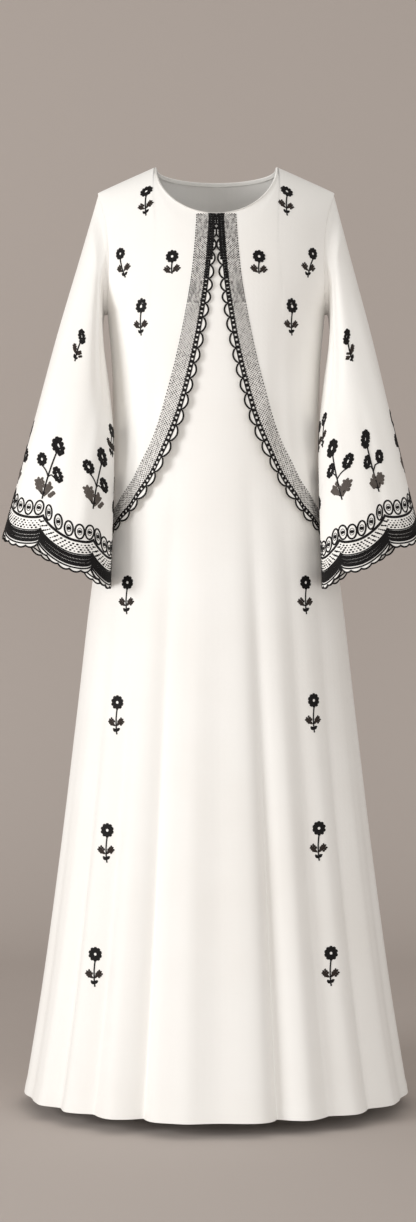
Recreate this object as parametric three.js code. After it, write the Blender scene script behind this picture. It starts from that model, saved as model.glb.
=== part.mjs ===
// An ivory abaya, filled out with no wearer: a full-length A-line robe with two embroidered overlay
// fronts that part from the neck, and wide bell sleeves with a scalloped hem.
// Millimetres, +Z up, front towards -Y, +X to the viewer's right. The origin is the middle of the
// shoulder line, level with the points where the shoulder seams meet the neck.
import * as THREE from "three";

// Cloth and trims
const CLOTH = 1.5;
const TRIM = 1.2;
const SEAM_GAP = 0.3;
const HALF_GAP = SEAM_GAP / 2;

// Neck and shoulder
const NECK_HALF = 89;
const NECK_DROP = { front: 83, back: 12 };
// Stations round each half of the neck, in degrees from the neck point to its centre
const NECK_TURNS = [0, 6, 14, 24, 36, 50, 64, 77, 90];
const SHOULDER_HALF = 174;
const SHOULDER_FALL = 37;
const SHOULDER_SLOPE = SHOULDER_FALL / (SHOULDER_HALF - NECK_HALF);
const UNDERARM = -215;
const HEM = -1361;
// Distance down the cloth from the shoulder line to the underarm level
const DOME_RUN = 260;

// Armhole, from the shoulder tip down: the cloth's edge, and the wider section that it is cut from
const ARMHOLE = [
  { height: -37, edge: 174, full: 178 },
  { height: -80, edge: 161, full: 178 },
  { height: -130, edge: 155, full: 178 },
  { height: -175, edge: 155.5, full: 172 },
  { height: -200, edge: 157.2, full: 164 },
  { height: UNDERARM, edge: 158, full: 158 },
];

// Body sections from the underarm down: half width, and depth to the front and to the back
const BODY = [
  { height: UNDERARM, half: 158, front: 114, back: 102 },
  { height: -300, half: 151, front: 110, back: 96 },
  { height: -400, half: 152, front: 112, back: 100 },
  { height: -500, half: 164, front: 122, back: 116 },
  { height: -620, half: 183, front: 140, back: 140 },
  { height: -800, half: 204, front: 161, back: 164 },
  { height: -1000, half: 228, front: 184, back: 188 },
  { height: -1200, half: 255, front: 206, back: 210 },
  { height: HEM, half: 281, front: 224, back: 230 },
];

// Skirt folds as valleys, by their angle round the body: 0 is the right side seam, 90 the centre
// front, 180 the left side seam and 270 the centre back. Depth is at the hem; a positive lean
// carries the cloth beside the valley over it, towards larger angles.
const FOLDS = [
  { angle: 15, spread: 5, depth: 5, lean: 0, start: -700 },
  { angle: 37.5, spread: 5, depth: 12, lean: -7, start: -480 },
  { angle: 55, spread: 4.6, depth: 11, lean: -7, start: -430 },
  { angle: 72.6, spread: 5, depth: 19, lean: -15, start: -400 },
  { angle: 89, spread: 6, depth: 5, lean: 0, start: -420 },
  { angle: 111.5, spread: 5, depth: 19, lean: 15, start: -400 },
  { angle: 129.4, spread: 4.6, depth: 12, lean: 7, start: -470 },
  { angle: 144.5, spread: 5, depth: 11, lean: 7, start: -500 },
  { angle: 165, spread: 5, depth: 5, lean: 0, start: -720 },
  { angle: 197, spread: 5, depth: 7, lean: 0, start: -600 },
  { angle: 214, spread: 5.4, depth: 13, lean: 8, start: -450 },
  { angle: 233, spread: 5, depth: 12, lean: -7, start: -520 },
  { angle: 251, spread: 5.4, depth: 17, lean: 12, start: -390 },
  { angle: 288, spread: 5.4, depth: 16, lean: -12, start: -410 },
  { angle: 306, spread: 5, depth: 12, lean: 7, start: -500 },
  { angle: 324, spread: 5.4, depth: 13, lean: -8, start: -460 },
  { angle: 343, spread: 5, depth: 7, lean: 0, start: -620 },
];

// Free edge of an overlay front, from the centre neck to the side seam
const OVERLAY_EDGE = [
  { out: 5, height: -82.9 },
  { out: 7.5, height: -130 },
  { out: 12, height: -180 },
  { out: 18.5, height: -225 },
  { out: 28.5, height: -280 },
  { out: 41, height: -335 },
  { out: 57.5, height: -393 },
  { out: 82, height: -450 },
  { out: 112, height: -498 },
  { out: 142, height: -533 },
  { out: 165, height: -551 },
];
const OVERLAY_END = -560;
// Rows of a full-length panel: over the shoulder, closer towards its top, down to the overlay's end,
// and down to the hem
const ROWS = { dome: 8, close: 1.35, waist: 7, skirt: 7 };
const COLUMN_STEP = 4.7;
// How far an overlay hangs clear of the front: away from its seams, and at its free edge
const OVERLAY_SEAM = 0.5;
const OVERLAY_EASE = 1.3;
// Its rows lie closer towards the shoulder
const OVERLAY_CLOSE = 1.3;
const OVERLAY_CLEAR = 8;
const OVERLAY_FOLDS = [
  { angle: 38, spread: 4, depth: 2.5 },
  { angle: 49, spread: 4, depth: 3 },
  { angle: 63, spread: 5, depth: 4 },
];

// Trims along the overlay edge, measured across it; positive is beyond the cloth's edge
const TRIM_EASE = 1.2;
const BRAID_WIDTH = 5;
const BAND_WIDTH = { top: 17, low: 20 };
// The trims stop just short of the side seam; their rows are closer together at the neck
const TRIM_END = 0.985;
const BAND_TAPER = 1.15;
// Share of the overlay edge over which its direction is measured
const EDGE_STEP = 0.004;
const SCALLOP = { count: 25, root: 1.6, depth: 6, steps: 3 };

// Neck binding: how far it turns in, and how far its roll stands above the neck edge
const BINDING = { turn: 4.5, roll: 1.4, wall: 1, clear: 1.7 };
const TAPE = { half: 6.4, wall: 1, clear: 0.45, hem: 14 };

// Sleeve sections by share of its length. Inner is the point nearest the body, outer the farthest;
// front and back are half depths, and turn carries the front in over the body.
const SLEEVE = [
  { share: 0, innerX: 158, innerY: 0, innerZ: -214.6, outerX: 174.4, outerY: 0, outerZ: -37,
    front: 50, back: 46, turn: 0 },
  { share: 0.03, innerX: 166, innerY: -1, innerZ: -213.6, outerX: 178.6, outerY: -1.5, outerZ: -52,
    front: 51, back: 46, turn: 0 },
  { share: 0.12, innerX: 167, innerY: -11, innerZ: -248, outerX: 190, outerY: -6, outerZ: -95,
    front: 53, back: 45, turn: 9 },
  { share: 0.3, innerX: 157, innerY: -42, innerZ: -320, outerX: 215, outerY: -16, outerZ: -185,
    front: 51, back: 38, turn: 8 },
  { share: 0.5, innerX: 149, innerY: -66, innerZ: -402, outerX: 242, outerY: -27, outerZ: -283,
    front: 52, back: 34, turn: 4 },
  { share: 0.75, innerX: 149, innerY: -97, innerZ: -502, outerX: 273, outerY: -42, outerZ: -408,
    front: 55, back: 36, turn: 0 },
  { share: 1, innerX: 152, innerY: -122, innerZ: -603, outerX: 304, outerY: -60, outerZ: -532,
    front: 58, back: 46, turn: 0 },
];
const SLEEVE_ROWS = [0, 0.03, 0.07, 0.12, 0.2, 0.3, 0.4, 0.5, 0.6, 0.7, 0.8, 0.9, 1];
const SLEEVE_STEPS = 30;
const UNDERARM_STEP = 7;
const SLEEVE_REACH = { left: 1, right: 0.9 };
const CUFF_SCALLOP = { count: 6, depth: 15, first: 36, roundness: 0.7 };
const CUFF_EDGING = { count: 30, root: 2, depth: 3.2, steps: 3 };

const COLOURS = {
  ivory: 0xf4f1ea,
  ivoryOverlay: 0xf6f3ee,
  ivorySleeve: 0xf3f0ea,
  binding: 0xefebe2,
  band: 0x6f6b68,
  black: 0x17161a,
};

const DEGREE = Math.PI / 180;
const clamp = (value, low, high) => Math.min(high, Math.max(low, value));
const mix = (a, b, share) => a + (b - a) * share;
const smooth = (share) => {
  const s = clamp(share, 0, 1);
  return s * s * (3 - 2 * s);
};
const bell = (x) => Math.exp(-x * x);

// One column of a table, read between its rows on a smooth curve
function read(rows, by, column, at) {
  const rising = rows[1][by] > rows[0][by];
  const last = rows.length - 2;
  let i = 0;
  while (i < last && (rising ? at > rows[i + 1][by] : at < rows[i + 1][by])) {
    i += 1;
  }
  const slope = (k) => {
    const a = rows[Math.max(k - 1, 0)];
    const b = rows[Math.min(k + 1, rows.length - 1)];
    return (b[column] - a[column]) / (b[by] - a[by]);
  };
  const span = rows[i + 1][by] - rows[i][by];
  const s = clamp((at - rows[i][by]) / span, 0, 1);
  const s2 = s * s;
  const s3 = s2 * s;
  return (
    (2 * s3 - 3 * s2 + 1) * rows[i][column] +
    (s3 - 2 * s2 + s) * span * slope(i) +
    (3 * s2 - 2 * s3) * rows[i + 1][column] +
    (s3 - s2) * span * slope(i + 1)
  );
}

// Where the cloth ends sideways at a height: the armhole above the underarm, the side seam below
function edgeAt(height) {
  return height > UNDERARM ? read(ARMHOLE, "height", "edge", height) : read(BODY, "height", "half", height);
}

// The shoulder seam's height, carried on over the neck as a low arch
function shoulderAt(x) {
  const out = Math.abs(x);
  if (out >= NECK_HALF) {
    return -SHOULDER_SLOPE * (out - NECK_HALF);
  }
  const rise = (SHOULDER_SLOPE * NECK_HALF) / 2;
  return rise * (1 - (out / NECK_HALF) ** 2);
}

// A station on the neck edge, by its turn from the neck point
function neckStation(side, turn) {
  return { x: NECK_HALF * Math.cos(turn * DEGREE), height: -NECK_DROP[side] * Math.sin(turn * DEGREE) };
}

// The neck edge's height, in straight steps between its stations
function neckHeight(side, x) {
  const out = Math.abs(x);
  let i = 0;
  while (i < NECK_TURNS.length - 2 && out < neckStation(side, NECK_TURNS[i + 1]).x) {
    i += 1;
  }
  const a = neckStation(side, NECK_TURNS[i]);
  const b = neckStation(side, NECK_TURNS[i + 1]);
  return mix(a.height, b.height, clamp((out - a.x) / (b.x - a.x), 0, 1));
}

// Height of a place on the body, from its angle and its distance down the cloth
function heightOf(angle, run) {
  if (run >= DOME_RUN) {
    return UNDERARM - (run - DOME_RUN);
  }
  const drop = 1 - Math.cos((run / DOME_RUN) * 90 * DEGREE);
  let height = UNDERARM / 2;
  for (let pass = 0; pass < 5; pass += 1) {
    const top = shoulderAt(edgeAt(height) * Math.cos(angle * DEGREE));
    height = top - (top - UNDERARM) * drop;
  }
  return height;
}

// Distance down the cloth at a place given by x and height
function runOf(x, height) {
  if (height <= UNDERARM) {
    return DOME_RUN + UNDERARM - height;
  }
  const top = shoulderAt(x);
  const drop = clamp((top - height) / (top - UNDERARM), 0, 1);
  return (DOME_RUN * Math.acos(1 - drop)) / (90 * DEGREE);
}

const angleOf = (x, height) => Math.acos(clamp(x / edgeAt(height), -1, 1)) / DEGREE;

// Radial and sideways shift of the skirt by its folds; angle here is all round the body
function foldAt(angle, height) {
  let radial = 0;
  let slide = 0;
  for (const fold of FOLDS) {
    const grown = smooth((fold.start - height) / (fold.start - HEM)) ** 0.8;
    if (grown <= 0) {
      continue;
    }
    const away = (angle - fold.angle) / fold.spread;
    const beside = away + Math.sign(fold.lean);
    radial -= fold.depth * grown * bell(away);
    slide += fold.lean * grown * bell(beside);
  }
  return { radial, slide };
}

// A point on the inner face of the body. Angle runs from 0 at the right seam to 180 at the left.
function bodyPoint(side, angle, run) {
  const height = heightOf(angle, run);
  const sign = side === "front" ? -1 : 1;
  const half = edgeAt(height);
  const round = side === "front" ? angle : 360 - angle;
  if (height > UNDERARM) {
    const x = half * Math.cos(angle * DEGREE);
    const wide = Math.max(read(ARMHOLE, "height", "full", height), Math.abs(x));
    const swell = Math.sqrt(1 - (x / wide) ** 2) * Math.sin((run / DOME_RUN) * 90 * DEGREE);
    return new THREE.Vector3(x, sign * BODY[0][side] * swell, height);
  }
  const depth = read(BODY, "height", side, height);
  const { radial, slide } = foldAt(round, height);
  const reach = (half + depth) / 2;
  const turned = angle * DEGREE + ((side === "front" ? 1 : -1) * slide) / reach;
  const x = (half + radial) * Math.cos(turned);
  const y = sign * (depth + radial) * Math.sin(turned);
  return new THREE.Vector3(x, y, height);
}

// Directions on the body at a place: along the angle, down the run, and out of the cloth
function bodyFrame(side, angle, run) {
  const turn = 0.4;
  const step = 2;
  const angles = [clamp(angle - turn, 0, 180), clamp(angle + turn, 0, 180)];
  const runs = [Math.max(run - step, 0), run + step];
  const across = bodyPoint(side, angles[1], run).sub(bodyPoint(side, angles[0], run));
  across.divideScalar(angles[1] - angles[0]);
  const down = bodyPoint(side, angle, runs[1]).sub(bodyPoint(side, angle, runs[0]));
  down.divideScalar(runs[1] - runs[0]);
  const out = across.clone().cross(down).normalize();
  if (side === "back") {
    out.negate();
  }
  return { across, down, out };
}

// A point moved out of the body's inner face. The seams keep half a gap to their own plane, and the
// armhole's edge is cut square to the sleeve.
function lifted(side, angle, run, lift) {
  const point = bodyPoint(side, angle, run);
  const { out } = bodyFrame(side, angle, run);
  const onArmhole = run < DOME_RUN && (angle < 0.01 || angle > 179.99);
  if (onArmhole) {
    const square = smooth((point.z - UNDERARM) / 14) * smooth((-SHOULDER_FALL - point.z) / 12);
    out.x *= 1 - square;
    out.normalize();
  }
  point.addScaledVector(out, lift);
  point.y = side === "front" ? Math.min(point.y, -HALF_GAP) : Math.max(point.y, HALF_GAP);
  return point;
}

// Where the cloth starts at its top: the shoulder seam, or the neck edge
function topRun(side, angle) {
  let x = SHOULDER_HALF * Math.cos(angle * DEGREE);
  for (let pass = 0; pass < 5; pass += 1) {
    if (Math.abs(x) >= NECK_HALF) {
      return 0;
    }
    x = edgeAt(neckHeight(side, x)) * Math.cos(angle * DEGREE);
  }
  return runOf(x, neckHeight(side, x));
}

// A closed wall over a grid of points. at(row, column, face) gives face 0, the inner, or 1, the outer.
function wall(rows, columns, at, ring = false) {
  const positions = [];
  const wide = ring ? columns : columns + 1;
  for (let face = 0; face < 2; face += 1) {
    for (let row = 0; row <= rows; row += 1) {
      for (let column = 0; column < wide; column += 1) {
        const point = at(row, column, face);
        positions.push(point.x, point.y, point.z);
      }
    }
  }
  const sheet = (rows + 1) * wide;
  const id = (row, column, face) => face * sheet + row * wide + (column % wide);
  const faces = [];
  const quad = (a, b, c, d) => faces.push(a, b, c, a, c, d);
  const length = (a, b) => {
    const [dx, dy, dz] = [0, 1, 2].map((k) => positions[3 * a + k] - positions[3 * b + k]);
    return dx * dx + dy * dy + dz * dz;
  };
  for (let row = 0; row < rows; row += 1) {
    for (let column = 0; column < columns; column += 1) {
      const outer = [[row, column], [row + 1, column], [row + 1, column + 1], [row, column + 1]];
      const [a, b, c, d] = outer.map(([r, k]) => id(r, k, 1));
      const [e, f, g, h] = outer.map(([r, k]) => id(r, k, 0));
      // Each quad is split along its shorter diagonal
      if (length(a, c) < length(b, d)) {
        quad(a, b, c, d);
        quad(e, h, g, f);
      } else {
        quad(b, c, d, a);
        faces.push(f, h, g, f, e, h);
      }
    }
  }
  for (let column = 0; column < columns; column += 1) {
    quad(id(0, column, 0), id(0, column, 1), id(0, column + 1, 1), id(0, column + 1, 0));
    quad(id(rows, column, 1), id(rows, column, 0), id(rows, column + 1, 0), id(rows, column + 1, 1));
  }
  for (let row = 0; row < rows && !ring; row += 1) {
    quad(id(row, 0, 1), id(row, 0, 0), id(row + 1, 0, 0), id(row + 1, 0, 1));
    quad(id(row, columns, 0), id(row, columns, 1), id(row + 1, columns, 1), id(row + 1, columns, 0));
  }
  return outward(positions, faces);
}

// A geometry whose faces point out of the solid
function outward(positions, faces) {
  const at = (i) => new THREE.Vector3(positions[3 * i], positions[3 * i + 1], positions[3 * i + 2]);
  let volume = 0;
  for (let i = 0; i < faces.length; i += 3) {
    const [a, b, c] = [at(faces[i]), at(faces[i + 1]), at(faces[i + 2])];
    volume += a.dot(b.cross(c));
  }
  if (volume < 0) {
    for (let i = 0; i < faces.length; i += 3) {
      [faces[i + 1], faces[i + 2]] = [faces[i + 2], faces[i + 1]];
    }
  }
  const geometry = new THREE.BufferGeometry();
  geometry.setAttribute("position", new THREE.Float32BufferAttribute(positions, 3));
  geometry.setIndex(faces);
  geometry.computeVertexNormals();
  return geometry;
}

// Mirrors a right-hand angle to the left hand
const handed = (hand, angle) => (hand === "right" ? angle : 180 - angle);

// Angles of the neck's stations on the right half, from the neck point to the centre
function neckAngles(side) {
  return NECK_TURNS.map((turn) => {
    const { x, height } = neckStation(side, turn);
    return angleOf(x, height);
  });
}

// Columns of half a panel, from its side seam to its centre. Below the underarm they are evenly
// spaced and land on each fold; at the top they close up to follow the neck edge.
function halfColumns(side, hand) {
  const marks = [0, 90];
  for (const fold of FOLDS) {
    const own = handed(hand, fold.angle < 180 ? fold.angle : 360 - fold.angle);
    if (fold.angle < 180 === (side === "front") && own < 90 - COLUMN_STEP) {
      marks.push(own);
    }
  }
  marks.sort((a, b) => a - b);
  const lows = [0];
  for (let i = 1; i < marks.length; i += 1) {
    const span = marks[i] - marks[i - 1];
    const count = Math.max(1, Math.round(span / COLUMN_STEP));
    for (let k = 1; k <= count; k += 1) {
      lows.push(marks[i - 1] + (span * k) / count);
    }
  }
  const neck = neckAngles(side);
  const shoulder = lows.length - neck.length;
  return lows.map((low, i) => {
    const top = i < shoulder ? (neck[0] * i) / shoulder : neck[i - shoulder];
    return { top: handed(hand, top), low: handed(hand, low), run: topRun(side, handed(hand, top)) };
  });
}

// Runs of a panel's rows: over the dome of the shoulder, down the waist, then down the skirt
function rowRuns(top) {
  const runs = [];
  const waist = DOME_RUN + UNDERARM - OVERLAY_END;
  for (let i = 0; i <= ROWS.dome; i += 1) {
    runs.push(mix(top, DOME_RUN, (i / ROWS.dome) ** ROWS.close));
  }
  for (let i = 1; i <= ROWS.waist; i += 1) {
    runs.push(mix(DOME_RUN, waist, i / ROWS.waist));
  }
  for (let i = 1; i <= ROWS.skirt; i += 1) {
    runs.push(mix(waist, DOME_RUN + UNDERARM - HEM, i / ROWS.skirt));
  }
  return runs;
}

// A full-length panel over a list of columns
function panel(side, columns, hold) {
  const rows = ROWS.dome + ROWS.waist + ROWS.skirt;
  const runs = columns.map((column) => rowRuns(column.run));
  return wall(rows, columns.length - 1, (row, i, face) => {
    const run = runs[i][row];
    const { top, low, run: start } = columns[i];
    const angle = mix(top, low, smooth((run - start) / (DOME_RUN - start)));
    return hold(lifted(side, angle, run, face * CLOTH), angle);
  });
}

// Keeps the edges at the centre back half a gap from their seam
function holdBack(hand) {
  return (point, angle) => {
    if (Math.abs(angle - 90) < 0.01) {
      point.x = hand === "left" ? -HALF_GAP : HALF_GAP;
    }
    return point;
  };
}

// How high an overlay's inner face lies above the body's inner face
function overlayLift(angle, run) {
  const height = heightOf(angle, run);
  const low = smooth((-190 - height) / 300);
  const inward = Math.sin(angle * DEGREE) ** 2;
  const fromSeam = Math.min(angle, 180 - angle);
  const fromTop = run - topRun("front", angle);
  const ease = OVERLAY_EASE * smooth(fromSeam / 8) * smooth(fromTop / 9);
  let lift = CLOTH + SEAM_GAP + OVERLAY_SEAM + ease + OVERLAY_CLEAR * low * inward;
  for (const fold of OVERLAY_FOLDS) {
    lift += fold.depth * low * bell((fromSeam - fold.angle) / fold.spread);
  }
  return lift;
}

// Angle and run of a place on the overlay's free edge, at a share of its length
function overlayEdge(hand, share) {
  const count = OVERLAY_EDGE.length - 1;
  const placed = OVERLAY_EDGE.map((row, i) => ({ ...row, order: i / count }));
  const out = read(placed, "order", "out", share);
  const height = read(placed, "order", "height", share);
  return { angle: handed(hand, angleOf(out, height)), run: runOf(out, height) };
}

// One overlay front, filled in between its free edge, neck and shoulder, and armhole and side seam
function overlay(hand) {
  const rows = 24;
  const shoulderSteps = 6;
  const end = DOME_RUN + UNDERARM - OVERLAY_END;
  const seam = handed(hand, 0);
  const start = overlayEdge(hand, 0);
  const finish = overlayEdge(hand, 1);
  const head = neckAngles("front").reverse().slice(1);
  const neckPoint = head[head.length - 1];
  for (let i = 1; i <= shoulderSteps; i += 1) {
    head.push(neckPoint * (1 - i / shoulderSteps));
  }
  const tops = [start.angle, ...head.map((angle) => handed(hand, angle))];
  const columns = tops.length - 1;
  return wall(rows, columns, (row, column, face) => {
    const down = (row / rows) ** OVERLAY_CLOSE;
    const over = (tops[column] - start.angle) / (seam - start.angle);
    const top = { angle: tops[column], run: topRun("front", tops[column]) };
    const edge = overlayEdge(hand, down);
    const side = { angle: seam, run: end * down };
    const foot = { angle: mix(finish.angle, seam, over), run: mix(finish.run, end, over) };
    const fill = (key, topCorner, footCorner) => {
      const corners = mix(mix(start[key], topCorner, over), mix(finish[key], footCorner, over), down);
      return mix(edge[key], side[key], over) + mix(top[key], foot[key], down) - corners;
    };
    const angle = column === columns ? seam : clamp(fill("angle", seam, seam), 0, 180);
    const run = Math.max(fill("run", 0, end), 0);
    return lifted("front", angle, run, overlayLift(angle, run) + face * CLOTH);
  });
}

// A point beside the overlay's edge: across is measured in the cloth, positive beyond the edge
function besideEdge(hand, share, across, lift) {
  const here = overlayEdge(hand, share);
  const near = overlayEdge(hand, Math.min(share + EDGE_STEP, 1));
  const far = overlayEdge(hand, Math.max(share - EDGE_STEP, 0));
  const { across: alongAngle, down, out } = bodyFrame("front", here.angle, here.run);
  const ahead = bodyPoint("front", near.angle, near.run).sub(bodyPoint("front", far.angle, far.run));
  const beyond = ahead.cross(out).normalize();
  if (hand === "left") {
    beyond.negate();
  }
  // Steps in angle and run that add up to a move of that size in that direction
  const aa = alongAngle.dot(alongAngle);
  const ad = alongAngle.dot(down);
  const dd = down.dot(down);
  const ba = beyond.dot(alongAngle);
  const bd = beyond.dot(down);
  const scale = across / (aa * dd - ad * ad);
  const angle = clamp(here.angle + (ba * dd - bd * ad) * scale, 0, 180);
  const run = Math.max(here.run + (bd * aa - ba * ad) * scale, topRun("front", angle));
  const ease = TRIM_EASE * mix(0.5, 1, smooth((UNDERARM - heightOf(angle, run)) / 100));
  const height = overlayLift(angle, run) + CLOTH + SEAM_GAP + ease + lift;
  const point = lifted("front", angle, run, height);
  point.x = hand === "left" ? Math.min(point.x, -HALF_GAP) : Math.max(point.x, HALF_GAP);
  return point;
}

// Embroidered band beside the braid
function frontBand(hand) {
  const rows = 28;
  return wall(rows, 2, (row, column, face) => {
    const share = TRIM_END * (row / rows) ** BAND_TAPER;
    const width = mix(BAND_WIDTH.top, BAND_WIDTH.low, smooth(share * 2));
    const across = -BRAID_WIDTH - SEAM_GAP - (width * column) / 2;
    return besideEdge(hand, share, across, face * TRIM);
  });
}

// Braid with its scalloped lace edge
function frontEdging(hand) {
  const rows = SCALLOP.count * SCALLOP.steps;
  return wall(rows, 1, (row, column, face) => {
    const wave = Math.abs(Math.sin((row / SCALLOP.steps) * Math.PI)) ** 0.7;
    const outer = SCALLOP.root + SCALLOP.depth * wave;
    return besideEdge(hand, (TRIM_END * row) / rows, column ? outer : -BRAID_WIDTH, face * TRIM);
  });
}

// Places round the neck edge at its stations, from the right neck point over the front and the back
function neckPlaces() {
  const places = [];
  for (const side of ["front", "back"]) {
    const right = NECK_TURNS.slice(side === "front" ? 0 : 1);
    const left = NECK_TURNS.slice(side === "front" ? 0 : 1, -1).reverse();
    const half = [];
    for (const turn of right) {
      half.push({ side, turn, mirror: 1 });
    }
    for (const turn of left) {
      half.push({ side, turn, mirror: -1 });
    }
    places.push(...(side === "front" ? half : half.reverse()));
  }
  return places.map(({ side, turn, mirror }) => {
    const { x, height } = neckStation(side, turn);
    return { side, turn, angle: angleOf(mirror * x, height), run: runOf(x, height) };
  });
}

// Neck binding: a leg inside the cloth and a roll over its edge, swept round the neck
function neckBinding() {
  const thick = { front: 2 * CLOTH + OVERLAY_SEAM + 2 * SEAM_GAP + TRIM, back: CLOTH };
  const inside = -BINDING.clear - BINDING.wall;
  const places = neckPlaces();
  const edges = places.map(({ side, angle, run }) => bodyPoint(side, angle, run));
  const middle = new THREE.Vector3(0, 0, 40);
  const ring = places.map(({ side, turn, angle, run }, i) => {
    const edge = edges[i];
    const { out } = bodyFrame(side, angle, run);
    const along = edges[(i + 1) % edges.length].clone().sub(edges.at(i - 1));
    const up = along.cross(out).normalize();
    if (up.dot(middle.clone().sub(edge)) < 0) {
      up.negate();
    }
    const over = mix(thick.front, thick[side], smooth(turn / NECK_TURNS[1])) + SEAM_GAP;
    const corner = (lift, rise) => edge.clone().addScaledVector(out, lift).addScaledVector(up, rise);
    return [
      corner(inside, -BINDING.turn),
      corner(-BINDING.clear, -BINDING.turn),
      corner(-BINDING.clear, 2 * SEAM_GAP),
      corner(over, 2 * SEAM_GAP),
      corner(over, 2 * SEAM_GAP + BINDING.roll),
      corner(inside, 2 * SEAM_GAP + BINDING.roll),
    ];
  });
  return sweptRing(ring);
}

// A closed ring swept through a list of sections
function sweptRing(ring) {
  const positions = [];
  const faces = [];
  const corners = ring[0].length;
  for (const section of ring) {
    for (const point of section) {
      positions.push(point.x, point.y, point.z);
    }
  }
  for (let i = 0; i < ring.length; i += 1) {
    const next = (i + 1) % ring.length;
    for (let k = 0; k < corners; k += 1) {
      const after = (k + 1) % corners;
      const [a, b, c, d] = [i * corners + k, next * corners + k, next * corners + after, i * corners + after];
      faces.push(a, b, c, a, c, d);
    }
  }
  return outward(positions, faces);
}

// Tape down the inside of the centre back seam, on the backs' own rows
function backTape() {
  const top = topRun("back", 90);
  const start = top + BINDING.turn + 3 * SEAM_GAP;
  const runs = rowRuns(top);
  runs[0] = start;
  runs[runs.length - 1] -= TAPE.hem;
  return wall(runs.length - 1, 2, (row, column, face) => {
    const run = runs[row];
    const turn = (TAPE.half * (column - 1)) / edgeAt(heightOf(90, run)) / DEGREE;
    const lift = -TAPE.clear - (1 - face) * TAPE.wall;
    return lifted("back", 90 + turn, run, lift);
  });
}

// The armhole's edge as a loop, on the panels' own rows: 0 at the underarm, 90 at the front, 180 at
// the shoulder and 270 at the back
function armholePoint(turn) {
  const side = turn < 180 ? "front" : "back";
  const height = mix(UNDERARM, -SHOULDER_FALL, (1 - Math.cos(turn * DEGREE)) / 2);
  const run = runOf(edgeAt(height), height);
  const runs = rowRuns(0);
  let row = 0;
  while (row < ROWS.dome - 1 && run > runs[row + 1]) {
    row += 1;
  }
  const above = bodyPoint(side, 0, runs[row]);
  const below = bodyPoint(side, 0, runs[row + 1]);
  return above.lerp(below, (run - runs[row]) / (runs[row + 1] - runs[row]));
}

// A point on the outer face of the right sleeve's own tube, before its hem is scalloped
function tubePoint(share, turn) {
  const at = (column) => read(SLEEVE, "share", column, share);
  const inner = new THREE.Vector3(at("innerX"), at("innerY"), at("innerZ"));
  const outer = new THREE.Vector3(at("outerX"), at("outerY"), at("outerZ"));
  const centre = inner.clone().add(outer).multiplyScalar(0.5);
  const toInner = inner.clone().sub(outer).multiplyScalar(0.5);
  const forward = new THREE.Vector3(0, -1, 0);
  const axis = toInner.clone().normalize();
  forward.addScaledVector(axis, -forward.dot(axis)).normalize();
  const sine = Math.sin(turn * DEGREE);
  const reach = sine > 0 ? at("front") : at("back");
  const point = centre.addScaledVector(toInner, Math.cos(turn * DEGREE));
  point.addScaledVector(forward, reach * sine);
  point.x -= at("turn") * Math.max(sine, 0) ** 2;
  return point;
}

// The sleeve's outer face: the armhole's loop at its head, a short step out under the arm, then the tube
function sleeveOuter(share, turn) {
  const tube = tubePoint(share, turn);
  const settled = SLEEVE[2].share;
  if (share >= settled) {
    return tube;
  }
  const loop = armholePoint(turn);
  const cosine = Math.cos(turn * DEGREE);
  const rise = Math.max(0, cosine) ** 2;
  loop.x += (SEAM_GAP + 0.1) * (1 - rise);
  loop.z += (SEAM_GAP + 0.1) * rise;
  const first = SLEEVE[1].share;
  const low = smooth((cosine + 0.1) / 0.7);
  const step = new THREE.Vector3(UNDERARM_STEP * low * Math.min(share / first, 1), 0, 0);
  const carried = tube.clone().sub(tubePoint(0, turn)).multiplyScalar(1 - low);
  return loop.add(step).add(carried).lerp(tube, smooth((share - first) / (settled - first)));
}

// How far the scalloped hem reaches past the sleeve's last section, in steps of the sleeve's columns
function scallopReach(turn) {
  const step = 360 / SLEEVE_STEPS;
  const reachAt = (column) => {
    const wave = Math.sin(((column * step - CUFF_SCALLOP.first) * CUFF_SCALLOP.count * DEGREE) / 2);
    return CUFF_SCALLOP.depth * Math.abs(wave) ** CUFF_SCALLOP.roundness;
  };
  const column = Math.floor(turn / step);
  return mix(reachAt(column), reachAt(column + 1), turn / step - column);
}

// A point on the sleeve; past the last section it goes on in the same direction
function sleevePoint(share, turn, beyond, depth) {
  const step = 0.01;
  const low = Math.max(share - step, 0);
  const high = Math.min(share + step, 1);
  const down = sleeveOuter(high, turn).sub(sleeveOuter(low, turn));
  const along = sleeveOuter(share, (turn + 2) % 360).sub(sleeveOuter(share, (turn + 358) % 360));
  const out = down.clone().cross(along).normalize();
  const hang = share ** 3 * scallopReach(turn) + beyond;
  const point = sleeveOuter(share, turn).addScaledVector(down.normalize(), hang);
  return point.addScaledVector(out, -depth);
}

// Turns the right sleeve into the left one, and narrows the right one's flare
function onHand(hand, point) {
  const root = ARMHOLE[0].edge;
  const flare = SLEEVE_REACH[hand];
  if (point.x > root) {
    point.x = root + (point.x - root) * flare;
  }
  if (hand === "left") {
    point.x = -point.x;
  }
  return point;
}

function sleeve(hand) {
  const rows = SLEEVE_ROWS.length - 1;
  return wall(
    rows,
    SLEEVE_STEPS,
    (row, column, face) => {
      const turn = (360 * column) / SLEEVE_STEPS;
      return onHand(hand, sleevePoint(SLEEVE_ROWS[row], turn, 0, (1 - face) * CLOTH));
    },
    true,
  );
}

// Small scalloped lace along the sleeve's hem
function cuffEdging(hand) {
  const steps = CUFF_EDGING.count * CUFF_EDGING.steps;
  return wall(
    1,
    steps,
    (row, column, face) => {
      const turn = (360 * column) / steps;
      const wave = Math.abs(Math.sin((column / CUFF_EDGING.steps) * Math.PI)) ** 0.7;
      const reach = row ? CUFF_EDGING.root + CUFF_EDGING.depth * wave : 0;
      return onHand(hand, sleevePoint(1, turn, SEAM_GAP + 0.3 + reach, (1 - face) * TRIM));
    },
    true,
  );
}

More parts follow.
